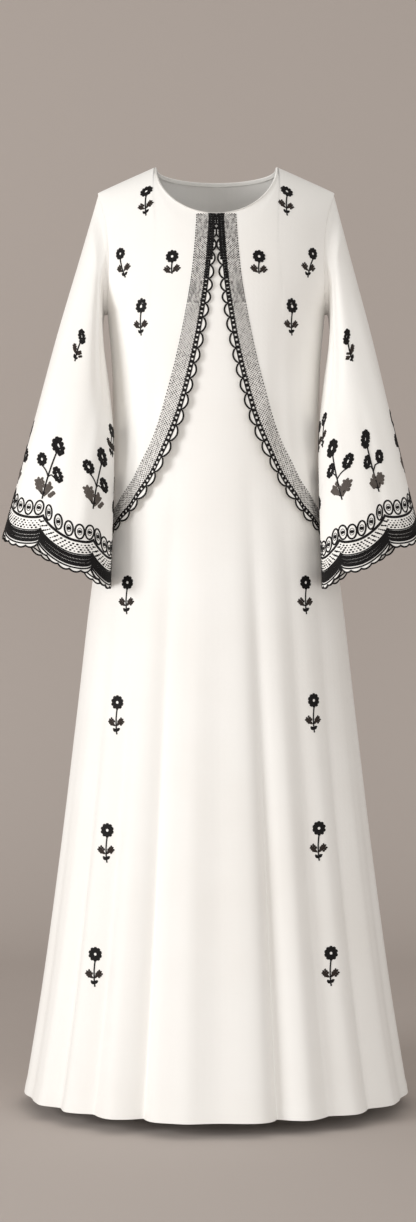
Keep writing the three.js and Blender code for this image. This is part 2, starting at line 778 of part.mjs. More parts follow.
const abaya = new THREE.Group();
abaya.name = "abaya";

function add(name, geometry, colour, roughness) {
  const material = new THREE.MeshStandardMaterial({ color: colour, roughness, metalness: 0 });
  const mesh = new THREE.Mesh(geometry, material);
  mesh.name = name;
  abaya.add(mesh);
}

const asMade = (point) => point;
const frontColumns = [...halfColumns("front", "right"), ...halfColumns("front", "left").reverse().slice(1)];
add("front", panel("front", frontColumns, asMade), COLOURS.ivory, 0.8);
add("back_right", panel("back", halfColumns("back", "right"), holdBack("right")), COLOURS.ivory, 0.8);
add("back_left", panel("back", halfColumns("back", "left"), holdBack("left")), COLOURS.ivory, 0.8);
add("back_seam_tape", backTape(), COLOURS.binding, 0.7);
add("neck_binding", neckBinding(), COLOURS.binding, 0.7);
for (const hand of ["left", "right"]) {
  add(`overlay_${hand}`, overlay(hand), COLOURS.ivoryOverlay, 0.8);
  add(`front_band_${hand}`, frontBand(hand), COLOURS.band, 0.75);
  add(`front_edging_${hand}`, frontEdging(hand), COLOURS.black, 0.6);
  add(`sleeve_${hand}`, sleeve(hand), COLOURS.ivorySleeve, 0.8);
  add(`cuff_edging_${hand}`, cuffEdging(hand), COLOURS.black, 0.6);
}

export default abaya;
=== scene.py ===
import math

import bmesh
import bpy
import numpy as np
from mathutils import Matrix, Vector


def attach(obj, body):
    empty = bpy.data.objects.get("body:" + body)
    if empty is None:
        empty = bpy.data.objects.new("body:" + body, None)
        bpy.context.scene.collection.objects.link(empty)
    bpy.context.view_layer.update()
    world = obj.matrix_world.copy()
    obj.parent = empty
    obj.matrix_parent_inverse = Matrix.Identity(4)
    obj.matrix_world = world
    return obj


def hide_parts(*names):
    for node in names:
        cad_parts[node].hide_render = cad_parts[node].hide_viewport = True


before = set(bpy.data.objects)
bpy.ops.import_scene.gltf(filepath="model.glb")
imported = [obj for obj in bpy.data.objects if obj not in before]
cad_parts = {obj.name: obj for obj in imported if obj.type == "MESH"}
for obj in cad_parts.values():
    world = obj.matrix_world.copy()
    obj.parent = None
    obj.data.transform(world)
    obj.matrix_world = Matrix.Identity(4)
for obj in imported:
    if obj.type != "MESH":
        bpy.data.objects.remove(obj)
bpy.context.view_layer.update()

# An ivory abaya, filled out with no wearer. Sizes are in millimetres until a mesh is made.
MM = 0.001

# Neck, shoulder and length, as the solids have them
NECK_HALF = 89.0
NECK_DROP = {"front": 83.0, "back": 12.0}
SHOULDER_HALF = 174.0
SHOULDER_FALL = 37.0
SHOULDER_SLOPE = SHOULDER_FALL / (SHOULDER_HALF - NECK_HALF)
UNDERARM = -215.0
HEM = -1361.0
DOME_RUN = 260.0
LENGTH = DOME_RUN + UNDERARM - HEM

# Cloth in layers, measured out of the body's inner face
CLOTH = 0.7
BODY_LIFT = 0.5
OVERLAY_SEAM = 1.5
OVERLAY_EASE = 1.0
OVERLAY_CLEAR = 8.0
SEAM_HALF_GAP = 0.12

ARMHOLE = {
    "height": [-37, -80, -130, -175, -200, UNDERARM],
    "edge": [174, 161, 155, 155.5, 157.2, 158],
    "full": [178, 178, 178, 172, 164, 158],
}
BODY = {
    "height": [UNDERARM, -300, -400, -500, -620, -800, -1000, -1200, HEM],
    "half": [158, 151, 152, 164, 183, 204, 228, 255, 281],
    "front": [114, 110, 112, 122, 140, 161, 184, 206, 224],
    "back": [102, 96, 100, 116, 140, 164, 188, 210, 230],
}

# Skirt folds as valleys: angle round the body (0 right seam, 90 centre front, 180 left seam, 270
# centre back), half width in degrees, depth at the hem, lean over the valley, and where it starts
FOLDS = [
    (15, 5, 5, 0, -700),
    (37.5, 5, 12, -7, -480),
    (55, 4.6, 11, -7, -430),
    (72.6, 5, 19, -15, -400),
    (89, 6, 5, 0, -420),
    (111.5, 5, 19, 15, -400),
    (129.4, 4.6, 12, 7, -470),
    (144.5, 5, 11, 7, -500),
    (165, 5, 5, 0, -720),
    (197, 5, 7, 0, -600),
    (214, 5.4, 13, 8, -450),
    (233, 5, 12, -7, -520),
    (251, 5.4, 17, 12, -390),
    (288, 5.4, 16, -12, -410),
    (306, 5, 12, 7, -500),
    (324, 5.4, 13, -8, -460),
    (343, 5, 7, 0, -620),
]

# Slighter creases: angle, half width, depth (positive is a ridge), top, foot, and drift in degrees
CREASES = [
    (26, 2.6, 2.2, -560, -1361, 2),
    (46, 2.4, 3.0, -600, -1361, 1),
    (64, 2.2, 3.2, -520, -1361, -1),
    (81, 3.0, 2.4, -480, -1361, -2),
    (98, 3.2, 2.6, -500, -1361, 1),
    (104, 2.0, 2.0, -700, -1361, 1),
    (120, 2.4, 3.4, -540, -1361, 2),
    (137, 2.4, 2.8, -620, -1361, 1),
    (154, 2.8, 2.4, -640, -1361, -2),
    (205, 2.8, 2.6, -600, -1361, 2),
    (224, 2.6, 3.2, -520, -1361, -1),
    (242, 2.4, 3.0, -560, -1361, 1),
    (262, 3.0, 2.6, -480, -1361, -2),
    (278, 3.2, 2.4, -540, -1361, 2),
    (297, 2.4, 3.2, -500, -1361, 1),
    (315, 2.6, 2.8, -620, -1361, -1),
    (334, 2.8, 2.4, -640, -1361, 2),
    (245, 6.0, -3.0, -150, -420, 3),
    (295, 6.0, -2.6, -140, -400, -3),
    (228, 5.0, -2.4, -190, -470, 6),
    (312, 5.0, -2.2, -180, -450, -6),
]

OVERLAY_EDGE = {
    "out": [5, 7.5, 12, 18.5, 28.5, 41, 57.5, 82, 112, 142, 165],
    "height": [-82.9, -130, -180, -225, -280, -335, -393, -450, -498, -533, -551],
}
OVERLAY_END = -560.0
# Soft folds of an overlay: angle from its side seam, half width, height
OVERLAY_FOLDS = [(38, 4, 2.5), (49, 4, 3.0), (63, 5, 4.0)]

# Sleeve sections by share of the length
SLEEVE = {
    "share": [0, 0.03, 0.12, 0.3, 0.5, 0.75, 1],
    "inner_x": [158, 166, 167, 157, 149, 149, 152],
    "inner_y": [0, -1, -11, -42, -66, -97, -122],
    "inner_z": [-214.6, -213.6, -248, -320, -402, -502, -603],
    "outer_x": [174.4, 178.6, 190, 215, 242, 273, 304],
    "outer_y": [0, -1.5, -6, -16, -27, -42, -60],
    "outer_z": [-37, -52, -95, -185, -283, -408, -532],
    "front": [50, 51, 53, 51, 52, 55, 58],
    "back": [46, 46, 45, 38, 34, 36, 46],
    "turn": [0, 0, 9, 8, 4, 0, 0],
}
SLEEVE_REACH = {"left": 1.0, "right": 0.9}
UNDERARM_STEP = 7.0
CUFF_SCALLOPS = 6
CUFF_DEPTH = 15.0
CUFF_FIRST = 36.0
CUFF_ROUND = 0.7


def smooth(share):
    s = np.clip(share, 0, 1)
    return s * s * (3 - 2 * s)


def bell(x):
    return np.exp(-x * x)


def read(table, by, column, at):
    """One column of a table, read between its rows on a smooth curve."""
    x = np.array(table[by], dtype=float)
    y = np.array(table[column], dtype=float)
    if x[1] < x[0]:
        x, y = x[::-1], y[::-1]
    slope = np.empty_like(y)
    slope[1:-1] = (y[2:] - y[:-2]) / (x[2:] - x[:-2])
    slope[0] = (y[1] - y[0]) / (x[1] - x[0])
    slope[-1] = (y[-1] - y[-2]) / (x[-1] - x[-2])
    at = np.asarray(at, dtype=float)
    i = np.clip(np.searchsorted(x, at) - 1, 0, len(x) - 2)
    span = x[i + 1] - x[i]
    s = np.clip((at - x[i]) / span, 0, 1)
    s2, s3 = s * s, s * s * s
    return ((2 * s3 - 3 * s2 + 1) * y[i] + (s3 - 2 * s2 + s) * span * slope[i]
            + (3 * s2 - 2 * s3) * y[i + 1] + (s3 - s2) * span * slope[i + 1])


def edge_at(height):
    return np.where(height > UNDERARM, read(ARMHOLE, "height", "edge", height),
                    read(BODY, "height", "half", height))


def shoulder_at(x):
    out = np.abs(x)
    rise = SHOULDER_SLOPE * NECK_HALF / 2
    over_neck = rise * (1 - (out / NECK_HALF) ** 2)
    return np.where(out >= NECK_HALF, -SHOULDER_SLOPE * (out - NECK_HALF), over_neck)


def neck_height(side, x):
    out = np.clip(np.abs(x) / NECK_HALF, 0, 1)
    return -NECK_DROP[side] * np.sqrt(1 - out * out)


def height_of(angle, run):
    """Height of a place on the body, from its angle and its distance down the cloth."""
    angle, run = np.broadcast_arrays(np.asarray(angle, dtype=float), np.asarray(run, dtype=float))
    drop = 1 - np.cos(np.radians(np.minimum(run / DOME_RUN, 1) * 90))
    height = np.full(angle.shape, UNDERARM / 2)
    for _ in range(6):
        top = shoulder_at(edge_at(height) * np.cos(np.radians(angle)))
        height = top - (top - UNDERARM) * drop
    return np.where(run >= DOME_RUN, UNDERARM - (run - DOME_RUN), height)


def run_of(x, height):
    top = shoulder_at(x)
    drop = np.clip((top - height) / (top - UNDERARM), 0, 1)
    dome = DOME_RUN * np.degrees(np.arccos(1 - drop)) / 90
    return np.where(height <= UNDERARM, DOME_RUN + UNDERARM - height, dome)


def angle_of(x, height):
    return np.degrees(np.arccos(np.clip(x / edge_at(height), -1, 1)))


def fold_at(around, height):
    """Radial and sideways shift of the skirt by its folds and creases."""
    radial = np.zeros(around.shape)
    slide = np.zeros(around.shape)
    for angle, spread, depth, lean, start in FOLDS:
        grown = smooth((start - height) / (start - HEM)) ** 0.8
        away = (around - angle) / spread
        radial -= depth * grown * bell(away)
        slide += lean * grown * bell(away + np.sign(lean))
    for angle, spread, depth, top, foot, drift in CREASES:
        share = (top - height) / (top - foot)
        open_foot = foot <= HEM
        grown = smooth(share) if open_foot else smooth(share * 3) * smooth((1 - share) * 3)
        away = (around - angle - drift * np.sin(share * 2.6)) / spread
        radial += depth * grown * bell(away)
    return radial, slide


def body_point(side, angle, run):
    """A point on the body's inner face: angle 0 at the right seam, 180 at the left."""
    angle, run = np.broadcast_arrays(np.asarray(angle, dtype=float), np.asarray(run, dtype=float))
    height = height_of(angle, run)
    sign = -1 if side == "front" else 1
    half = edge_at(height)
    around = angle if side == "front" else 360 - angle
    radial, slide = fold_at(around, height)
    x_top = half * np.cos(np.radians(angle))
    wide = np.maximum(read(ARMHOLE, "height", "full", height), np.abs(x_top))
    round_off = np.sin(np.radians(np.minimum(run / DOME_RUN, 1) * 90))
    swell = np.sqrt(np.maximum(1 - (x_top / wide) ** 2, 0)) * round_off
    inward = np.abs(np.sin(np.radians(angle)))
    y_top = sign * (BODY[side][0] + radial * inward) * swell
    depth = read(BODY, "height", side, height)
    reach = (half + depth) / 2
    turned = np.radians(angle) + (1 if side == "front" else -1) * slide / reach
    upper = height > UNDERARM
    x = np.where(upper, x_top, (half + radial) * np.cos(turned))
    y = np.where(upper, y_top, sign * (depth + radial) * np.sin(turned))
    return np.stack([x, y, height], axis=-1)


def unit(v):
    return v / np.maximum(np.linalg.norm(v, axis=-1, keepdims=True), 1e-9)


def body_frame(side, angle, run):
    """Steps along the angle and down the run, and the direction out of the cloth."""
    turn, step = 0.3, 1.5
    low, high = np.clip(angle - turn, 0, 180), np.clip(angle + turn, 0, 180)
    top, foot = np.maximum(run - step, 0), run + step
    across = (body_point(side, high, run) - body_point(side, low, run)) / (high - low)[..., None]
    down = (body_point(side, angle, foot) - body_point(side, angle, top)) / (foot - top)[..., None]
    out = unit(np.cross(across, down))
    if side == "back":
        out = -out
    return across, down, out


def lifted(side, angle, run, lift):
    angle, run, lift = np.broadcast_arrays(*(np.asarray(v, dtype=float) for v in (angle, run, lift)))
    point = body_point(side, angle, run)
    out = body_frame(side, angle, run)[2]
    point = point + out * lift[..., None]
    if side == "front":
        point[..., 1] = np.minimum(point[..., 1], -SEAM_HALF_GAP)
    else:
        point[..., 1] = np.maximum(point[..., 1], SEAM_HALF_GAP)
    return point


def top_run(side, angle):
    angle = np.asarray(angle, dtype=float)
    x = SHOULDER_HALF * np.cos(np.radians(angle))
    for _ in range(6):
        x = edge_at(neck_height(side, x)) * np.cos(np.radians(angle))
    run = run_of(x, neck_height(side, x))
    return np.where(np.abs(SHOULDER_HALF * np.cos(np.radians(angle))) >= NECK_HALF, 0.0, run)


def handed(hand, angle):
    return angle if hand == "right" else 180 - angle


def new_object(name, vertices, faces, uv=None):
    """A mesh object at the origin, from millimetre points."""
    mesh = bpy.data.meshes.new(name)
    vertices = np.asarray(vertices, dtype=float).reshape(-1, 3) * MM
    mesh.from_pydata(vertices.tolist(), [], [tuple(map(int, f)) for f in faces])
    if uv is not None:
        layer = mesh.uv_layers.new(name="cloth")
        loops = np.empty(len(mesh.loops), dtype=np.int32)
        mesh.loops.foreach_get("vertex_index", loops)
        layer.data.foreach_set("uv", (np.asarray(uv) * MM)[loops].astype(np.float32).ravel())
    mesh.polygons.foreach_set("use_smooth", [True] * len(mesh.polygons))
    mesh.update()
    mesh.set_sharp_from_angle(angle=math.radians(50))
    item = bpy.data.objects.new(name, mesh)
    bpy.context.scene.collection.objects.link(item)
    return item


def grid_faces(rows, columns, ring, offset, flip):
    wide = columns if ring else columns + 1
    r, c = np.meshgrid(np.arange(rows), np.arange(columns), indexing="ij")
    a = offset + r * wide + c
    b = offset + (r + 1) * wide + c
    d = offset + r * wide + (c + 1) % wide
    e = offset + (r + 1) * wide + (c + 1) % wide
    quads = np.stack([a, b, e, d] if flip else [a, d, e, b], axis=-1)
    return quads.reshape(-1, 4)


def shell(name, outer, inner, uv, ring=False, flip=False):
    """A thin closed wall between two grids of points, rows by columns."""
    rows, wide = outer.shape[0] - 1, outer.shape[1]
    columns = wide if ring else wide - 1
    sheet = (rows + 1) * wide
    faces = [grid_faces(rows, columns, ring, 0, flip), grid_faces(rows, columns, ring, sheet, not flip)]
    rim = []
    for c in range(columns):
        after = (c + 1) % wide
        rim.append((c, after, sheet + after, sheet + c))
        low = rows * wide
        rim.append((low + after, low + c, sheet + low + c, sheet + low + after))
    if not ring:
        for r in range(rows):
            a, b = r * wide, (r + 1) * wide
            rim.append((b, a, sheet + a, sheet + b))
            a, b = a + wide - 1, b + wide - 1
            rim.append((a, b, sheet + b, sheet + a))
    rim = np.array(rim)
    faces.append(rim if not flip else rim[:, ::-1])
    points = np.concatenate([outer.reshape(-1, 3), inner.reshape(-1, 3)])
    item = new_object(name, points, np.concatenate(faces), np.concatenate([uv.reshape(-1, 2)] * 2))
    face_out(item)
    return item


def face_out(item):
    """Turns every face of a closed mesh out of its solid, if it is inside out."""
    work = bmesh.new()
    work.from_mesh(item.data)
    if work.calc_volume(signed=True) < 0:
        bmesh.ops.reverse_faces(work, faces=work.faces)
    work.to_mesh(item.data)
    work.free()


def cloth_uv(angle, run):
    reach = (edge_at(height_of(angle, run)) + 130) / 2
    return np.stack([np.radians(angle - 90) * reach, -run], axis=-1)


# Cloth panels
PANEL_ROWS = {"dome": 36, "skirt": 112}
PANEL_COLUMNS = 80
SHOULDER_SHARE = 0.56
HEM_TURN = 13.0


def panel_grid(side, hand):
    """Angles and runs over half a panel, from its side seam to its centre."""
    c = np.linspace(0, 1, PANEL_COLUMNS + 1)
    low = 90 * c
    neck = np.clip((c - SHOULDER_SHARE) / (1 - SHOULDER_SHARE), 0, 1) * 90
    x = NECK_HALF * np.cos(np.radians(neck))
    neck_angle = angle_of(x, neck_height(side, x))
    top = np.where(c < SHOULDER_SHARE, neck_angle[0] * c / SHOULDER_SHARE, neck_angle)
    start = np.where(c < SHOULDER_SHARE, 0.0, run_of(x, neck_height(side, x)))
    dome = np.linspace(0, 1, PANEL_ROWS["dome"] + 1)[:, None] ** 1.25
    upper = start + (DOME_RUN - start) * dome
    angles = top + (low - top) * smooth(dome)
    lower = np.linspace(DOME_RUN, LENGTH, PANEL_ROWS["skirt"] + 1)[1:, None]
    lower = np.broadcast_to(lower, (PANEL_ROWS["skirt"], len(c)))
    run = np.concatenate([upper, lower])
    angle = np.concatenate([angles, np.broadcast_to(low, lower.shape)])
    return handed(hand, angle), run


def hem_swell(run):
    """The turned-up hem: the cloth is double below its stitch line, with a slight step there."""
    above = LENGTH - run
    step = 0.9 * smooth((HEM_TURN + 0.6 - above) / 1.2)
    groove = -0.9 * bell((above - HEM_TURN) / 1.5)
    return step + groove


def panel(name, side, hands):
    grids = [panel_grid(side, hand) for hand in hands]
    if len(grids) == 2:
        (a1, r1), (a2, r2) = grids
        angle = np.concatenate([a1, a2[:, ::-1][:, 1:]], axis=1)
        run = np.concatenate([r1, r2[:, ::-1][:, 1:]], axis=1)
    else:
        angle, run = grids[0]
    swell = hem_swell(run)
    outer = lifted(side, angle, run, BODY_LIFT + CLOTH + swell)
    inner = lifted(side, angle, run, BODY_LIFT - np.maximum(swell, 0))
    if len(grids) == 1:
        sign = 1 if hands[0] == "right" else -1
        for face in (outer, inner):
            face[:, -1, 0] = sign * SEAM_HALF_GAP
            # The seam is pressed open, so the cloth dips into it
            face[:, -2, 1] -= 0.1
            face[:, -1, 1] -= 0.5
    return shell(name, outer, inner, cloth_uv(angle, run))


def overlay_lift(angle, run):
    height = height_of(angle, run)
    low = smooth((-190 - height) / 300)
    inward = np.sin(np.radians(angle)) ** 2
    from_seam = np.minimum(angle, 180 - angle)
    ease = OVERLAY_EASE * smooth(from_seam / 8) * smooth((run - top_run("front", angle)) / 30)
    lift = OVERLAY_SEAM + ease + OVERLAY_CLEAR * low * inward
    for fold, spread, depth in OVERLAY_FOLDS:
        lift = lift + depth * low * bell((from_seam - fold) / spread)
    return lift


def overlay_edge(hand, share):
    order = np.linspace(0, 1, len(OVERLAY_EDGE["out"]))
    table = dict(OVERLAY_EDGE, order=order)
    out = read(table, "order", "out", share)
    height = read(table, "order", "height", share)
    return handed(hand, angle_of(out, height)), run_of(out, height)


OVERLAY_ROWS = 96
OVERLAY_COLUMNS = 64


def overlay(name, hand):
    """One overlay front, filled in between its free edge, its neck and shoulder, and its side."""
    end = DOME_RUN + UNDERARM - OVERLAY_END
    seam = handed(hand, 0)
    start_angle, start_run = (float(v) for v in overlay_edge(hand, 0.0))
    foot_angle, foot_run = (float(v) for v in overlay_edge(hand, 1.0))
    c = np.linspace(0, 1, OVERLAY_COLUMNS + 1)
    neck_share = 1 - SHOULDER_SHARE
    neck_turn = 90 * (1 - np.clip(c / neck_share, 0, 1))
    x = NECK_HALF * np.cos(np.radians(neck_turn))
    neck_angle = angle_of(x, neck_height("front", x))
    last = neck_angle[-1]
    tops = np.where(c <= neck_share, neck_angle, last * (1 - (c - neck_share) / SHOULDER_SHARE))
    tops = handed(hand, tops)
    tops = seam + (tops - seam) * (start_angle - seam) / (tops[0] - seam)
    over = ((tops - start_angle) / (seam - start_angle))[None, :]
    top_runs = top_run("front", tops)[None, :]
    top_runs[0, 0] = start_run
    down = (np.linspace(0, 1, OVERLAY_ROWS + 1) ** 1.2)[:, None]
    edge_angle, edge_run = overlay_edge(hand, down)

    def fill(edge, side, top, foot, corners):
        a, b, c0, d = corners
        flat = (a * (1 - over) + b * over) * (1 - down) + (c0 * (1 - over) + d * over) * down
        return edge * (1 - over) + side * over + top * (1 - down) + foot * down - flat

    foot_angles = foot_angle + (seam - foot_angle) * over
    foot_runs = foot_run + (end - foot_run) * over
    angle = fill(edge_angle, seam, tops[None, :], foot_angles, (start_angle, seam, foot_angle, seam))
    run = fill(edge_run, end * down, top_runs, foot_runs, (start_run, 0, foot_run, end))
    angle = np.clip(angle, 0, 180)
    run = np.maximum(run, 0)
    lift = overlay_lift(angle, run)
    outer = lifted("front", angle, run, lift + CLOTH)
    inner = lifted("front", angle, run, lift)
    return shell(name, outer, inner, cloth_uv(angle, run))


def armhole_point(turn):
    share = (1 - np.cos(np.radians(turn))) / 2
    height = UNDERARM + (-SHOULDER_FALL - UNDERARM) * share
    run = run_of(edge_at(height), height)
    front = body_point("front", np.zeros_like(run), run)
    back = body_point("back", np.zeros_like(run), run)
    return np.where((np.mod(turn, 360) < 180)[..., None], front, back)


def tube_point(share, turn):
    def at(column):
        return read(SLEEVE, "share", column, share)

    inner = np.stack([at("inner_x"), at("inner_y"), at("inner_z")], axis=-1)
    outer = np.stack([at("outer_x"), at("outer_y"), at("outer_z")], axis=-1)
    centre, to_inner = (inner + outer) / 2, (inner - outer) / 2
    axis = unit(to_inner)
    forward = np.zeros_like(axis)
    forward[..., 1] = -1
    forward = unit(forward - axis * np.sum(forward * axis, axis=-1, keepdims=True))
    sine, cosine = np.sin(np.radians(turn)), np.cos(np.radians(turn))
    reach = np.where(sine > 0, at("front"), at("back"))
    point = centre + to_inner * cosine[..., None] + forward * (reach * sine)[..., None]
    point[..., 0] -= at("turn") * np.maximum(sine, 0) ** 2
    return point


def sleeve_outer(share, turn):
    share, turn = np.broadcast_arrays(np.asarray(share, dtype=float), np.asarray(turn, dtype=float))
    tube = tube_point(share, turn)
    first, settled = SLEEVE["share"][1], SLEEVE["share"][2]
    loop = armhole_point(turn)
    cosine = np.cos(np.radians(turn))
    low = smooth((cosine + 0.1) / 0.7)
    loop[..., 0] += UNDERARM_STEP * low * np.minimum(share / first, 1)
    carried = (tube - tube_point(np.zeros_like(share), turn)) * (1 - low)[..., None]
    blend = smooth((share - first) / (settled - first))[..., None]
    near = (loop + carried) * (1 - blend) + tube * blend
    return np.where((share >= settled)[..., None], tube, near)


def scallop_reach(turn):
    wave = np.abs(np.sin(np.radians((turn - CUFF_FIRST) * CUFF_SCALLOPS / 2)))
    return CUFF_DEPTH * wave ** CUFF_ROUND


# Creases of a sleeve: turn, half width in degrees, depth, share where it starts and ends, drift
SLEEVE_CREASES = [
    (70, 11, 3.6, 0.02, 0.5, -46),
    (104, 12, 3.2, 0.04, 0.55, -62),
    (135, 12, -2.4, 0.1, 1.1, -10),
    (48, 10, -2.6, 0.3, 1.2, 6),
    (92, 9, 2.0, 0.5, 1.2, 4),
    (164, 10, 2.2, 0.35, 1.2, -6),
    (215, 12, 2.6, 0.05, 0.7, 30),
    (250, 13, -3.0, 0.1, 1.2, 14),
    (292, 12, 3.2, 0.04, 0.8, 34),
    (330, 10, -1.6, 0.4, 1.2, -8),
]


def sleeve_point(hand, share, turn, beyond, lift):
    """A point on a sleeve; past its last section it goes on in the same direction."""
    share, turn, beyond, lift = np.broadcast_arrays(
        *(np.asarray(v, dtype=float) for v in (share, turn, beyond, lift)))
    step = 0.01
    low, high = np.maximum(share - step, 0), np.minimum(share + step, 1)
    down = unit(sleeve_outer(high, turn) - sleeve_outer(low, turn))
    along = sleeve_outer(share, turn + 1.5) - sleeve_outer(share, turn - 1.5)
    out = unit(np.cross(down, along))
    crease = np.zeros(share.shape)
    sign = 1 if hand == "left" else 0.8
    for at, spread, depth, start, end, drift in SLEEVE_CREASES:
        along_share = (share - start) / (end - start)
        grown = smooth(along_share * 3) * smooth((1 - along_share) * 3)
        away = (turn - at - sign * drift * along_share + 180) % 360 - 180
        crease -= depth * grown * bell(away / spread)
    hang = share ** 3 * scallop_reach(turn) + beyond
    point = sleeve_outer(share, turn) + down * hang[..., None] + out * (lift + crease)[..., None]
    root = ARMHOLE["edge"][0]
    x = point[..., 0]
    point[..., 0] = np.where(x > root, root + (x - root) * SLEEVE_REACH[hand], x)
    if hand == "left":
        point[..., 0] *= -1
    return point


SLEEVE_ROWS = 96
SLEEVE_COLUMNS = 150


def sleeve(name, hand):
    share = np.linspace(0, 1, SLEEVE_ROWS + 1)[:, None] ** 1.1
    turn = np.arange(SLEEVE_COLUMNS)[None, :] * 360 / SLEEVE_COLUMNS
    outer = sleeve_point(hand, share, turn, 0, 0)
    inner = sleeve_point(hand, share, turn, 0, -CLOTH)
    uv = np.stack(np.broadcast_arrays(turn * 1.5, -share * 520), axis=-1)
    return shell(name, outer, inner, uv, ring=True)


# Materials
def material(name):
    made = bpy.data.materials.new(name)
    made.use_nodes = True
    nodes, links = made.node_tree.nodes, made.node_tree.links
    return made, nodes, links, nodes["Principled BSDF"]


def cloth_material(name, colour, shade, sheen=0.25):
    """Smooth matt crepe: fine plain weave, a slight crepe grain and soft changes of tone."""
    made, nodes, links, bsdf = material(name)
    bsdf.inputs["Roughness"].default_value = 0.82
    bsdf.inputs["Sheen Weight"].default_value = sheen
    bsdf.inputs["Sheen Roughness"].default_value = 0.45
    bsdf.inputs["Specular IOR Level"].default_value = 0.25
    bsdf.inputs["Subsurface Weight"].default_value = 0.0
    uv = nodes.new("ShaderNodeUVMap")
    uv.uv_map = "cloth"
    place = nodes.new("ShaderNodeTexCoord")
    waves = []
    for direction, scale in (("X", 900.0), ("Y", 820.0)):
        wave = nodes.new("ShaderNodeTexWave")
        wave.bands_direction = direction
        wave.inputs["Scale"].default_value = scale / (2 * math.pi) / 3.3
        wave.inputs["Distortion"].default_value = 0.6
        links.new(uv.outputs["UV"], wave.inputs["Vector"])
        waves.append(wave)
    weave = nodes.new("ShaderNodeMath")
    weave.operation = "MULTIPLY"
    links.new(waves[0].outputs["Fac"], weave.inputs[0])
    links.new(waves[1].outputs["Fac"], weave.inputs[1])
    grain = nodes.new("ShaderNodeTexNoise")
    grain.inputs["Scale"].default_value = 420.0
    grain.inputs["Detail"].default_value = 3.0
    links.new(place.outputs["Object"], grain.inputs["Vector"])
    tone = nodes.new("ShaderNodeTexNoise")
    tone.inputs["Scale"].default_value = 7.0
    tone.inputs["Detail"].default_value = 2.0
    links.new(place.outputs["Object"], tone.inputs["Vector"])
    mixed = nodes.new("ShaderNodeMix")
    mixed.data_type = "RGBA"
    mixed.inputs[6].default_value = (*shade, 1)
    mixed.inputs[7].default_value = (*colour, 1)
    ramp = nodes.new("ShaderNodeMapRange")
    ramp.inputs["From Min"].default_value = 0.3
    ramp.inputs["From Max"].default_value = 0.6
    links.new(tone.outputs["Fac"], ramp.inputs["Value"])
    links.new(ramp.outputs["Result"], mixed.inputs[0])
    links.new(mixed.outputs[2], bsdf.inputs["Base Color"])
    total = nodes.new("ShaderNodeMath")
    total.operation = "MULTIPLY_ADD"
    total.inputs[1].default_value = 0.6
    links.new(weave.outputs[0], total.inputs[0])
    links.new(grain.outputs["Fac"], total.inputs[2])
    bump = nodes.new("ShaderNodeBump")
    bump.inputs["Strength"].default_value = 0.16
    bump.inputs["Distance"].default_value = 0.0006
    links.new(total.outputs[0], bump.inputs["Height"])
    links.new(bump.outputs["Normal"], bsdf.inputs["Normal"])
    return made


def finish_piece(item, made, slot, *nodes):
    if not item.data.materials:
        item.data.materials.append(made)
    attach(item, "root")
    if nodes:
        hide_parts(*nodes)


IVORY = (0.93, 0.915, 0.885)
IVORY_SHADE = (0.905, 0.885, 0.85)
cloth_ivory = cloth_material("ivory_crepe", IVORY, IVORY_SHADE)


def cloth_pieces():
    front = panel("front_panel", "front", ["right", "left"])
    finish_piece(front, cloth_ivory, "ivory_cloth", "front")
    for hand in ("left", "right"):
        back = panel(f"back_panel_{hand}", "back", [hand])
        finish_piece(back, cloth_ivory, "ivory_cloth", f"back_{hand}")
        over = overlay(f"overlay_front_{hand}", hand)
        finish_piece(over, cloth_ivory, "overlay_cloth", f"overlay_{hand}")
        arm = sleeve(f"bell_sleeve_{hand}", hand)
        finish_piece(arm, cloth_ivory, "sleeve_cloth", f"sleeve_{hand}")


cloth_pieces()


# Thread work: raised strips of thread laid on a surface, and stitches or beads set out by nodes
STRIP_TOP = 0.78
STRIP_SUNK = 0.12


class ThreadWork:
    """Collects strips of thread that become one mesh."""

    def __init__(self):
        self.points, self.faces, self.count = [], [], 0
        self.drawn = {}

    def draw(self, ground, line, width, height, closed):
        """Keeps a line drawn on a ground, to be laid with the ground's other lines."""
        line = np.asarray(line, dtype=float)
        self.drawn.setdefault(ground, []).append((line, width, height, closed))

    def lay(self):
        for ground, lines in self.drawn.items():
            flat = np.concatenate([line for line, *_ in lines])
            points, outs = ground(flat[:, 0], flat[:, 1])
            start = 0
            for line, width, height, closed in lines:
                end = start + len(line)
                self.strip(points[start:end], outs[start:end], width, height, closed)
                start = end

    def strip(self, points, outs, width, height=0.45, closed=False):
        """One low rounded strip along a line of points on the cloth."""
        points, outs = np.asarray(points, dtype=float), unit(np.asarray(outs, dtype=float))
        n = len(points)
        along = np.gradient(points, axis=0)
        if closed:
            along = np.roll(points, -1, axis=0) - np.roll(points, 1, axis=0)
        side = unit(np.cross(unit(along), outs)) * np.broadcast_to(width, n)[:, None] / 2
        rise = outs * np.broadcast_to(height, n)[:, None]
        sunk = outs * STRIP_SUNK
        shoulder = side * STRIP_TOP
        rails = [
            points - side - sunk,
            points - shoulder + rise,
            points + shoulder + rise,
            points + side - sunk,
        ]
        self.points.append(np.stack(rails, axis=1).reshape(-1, 3))
        base = self.count
        for i in range(n if closed else n - 1):
            a, b = base + 4 * i, base + 4 * ((i + 1) % n)
            for k in range(4):
                m = (k + 1) % 4
                self.faces.append((a + k, a + m, b + m, b + k))
        if not closed:
            last = base + 4 * (n - 1)
            self.faces.append((base + 3, base + 2, base + 1, base))
            self.faces.append((last, last + 1, last + 2, last + 3))
        self.count += 4 * n

    def make(self, name, made, slot, *nodes):
        self.lay()
        item = new_object(name, np.concatenate(self.points), self.faces)
        face_out(item)
        finish_piece(item, made, slot, *nodes)
        return item


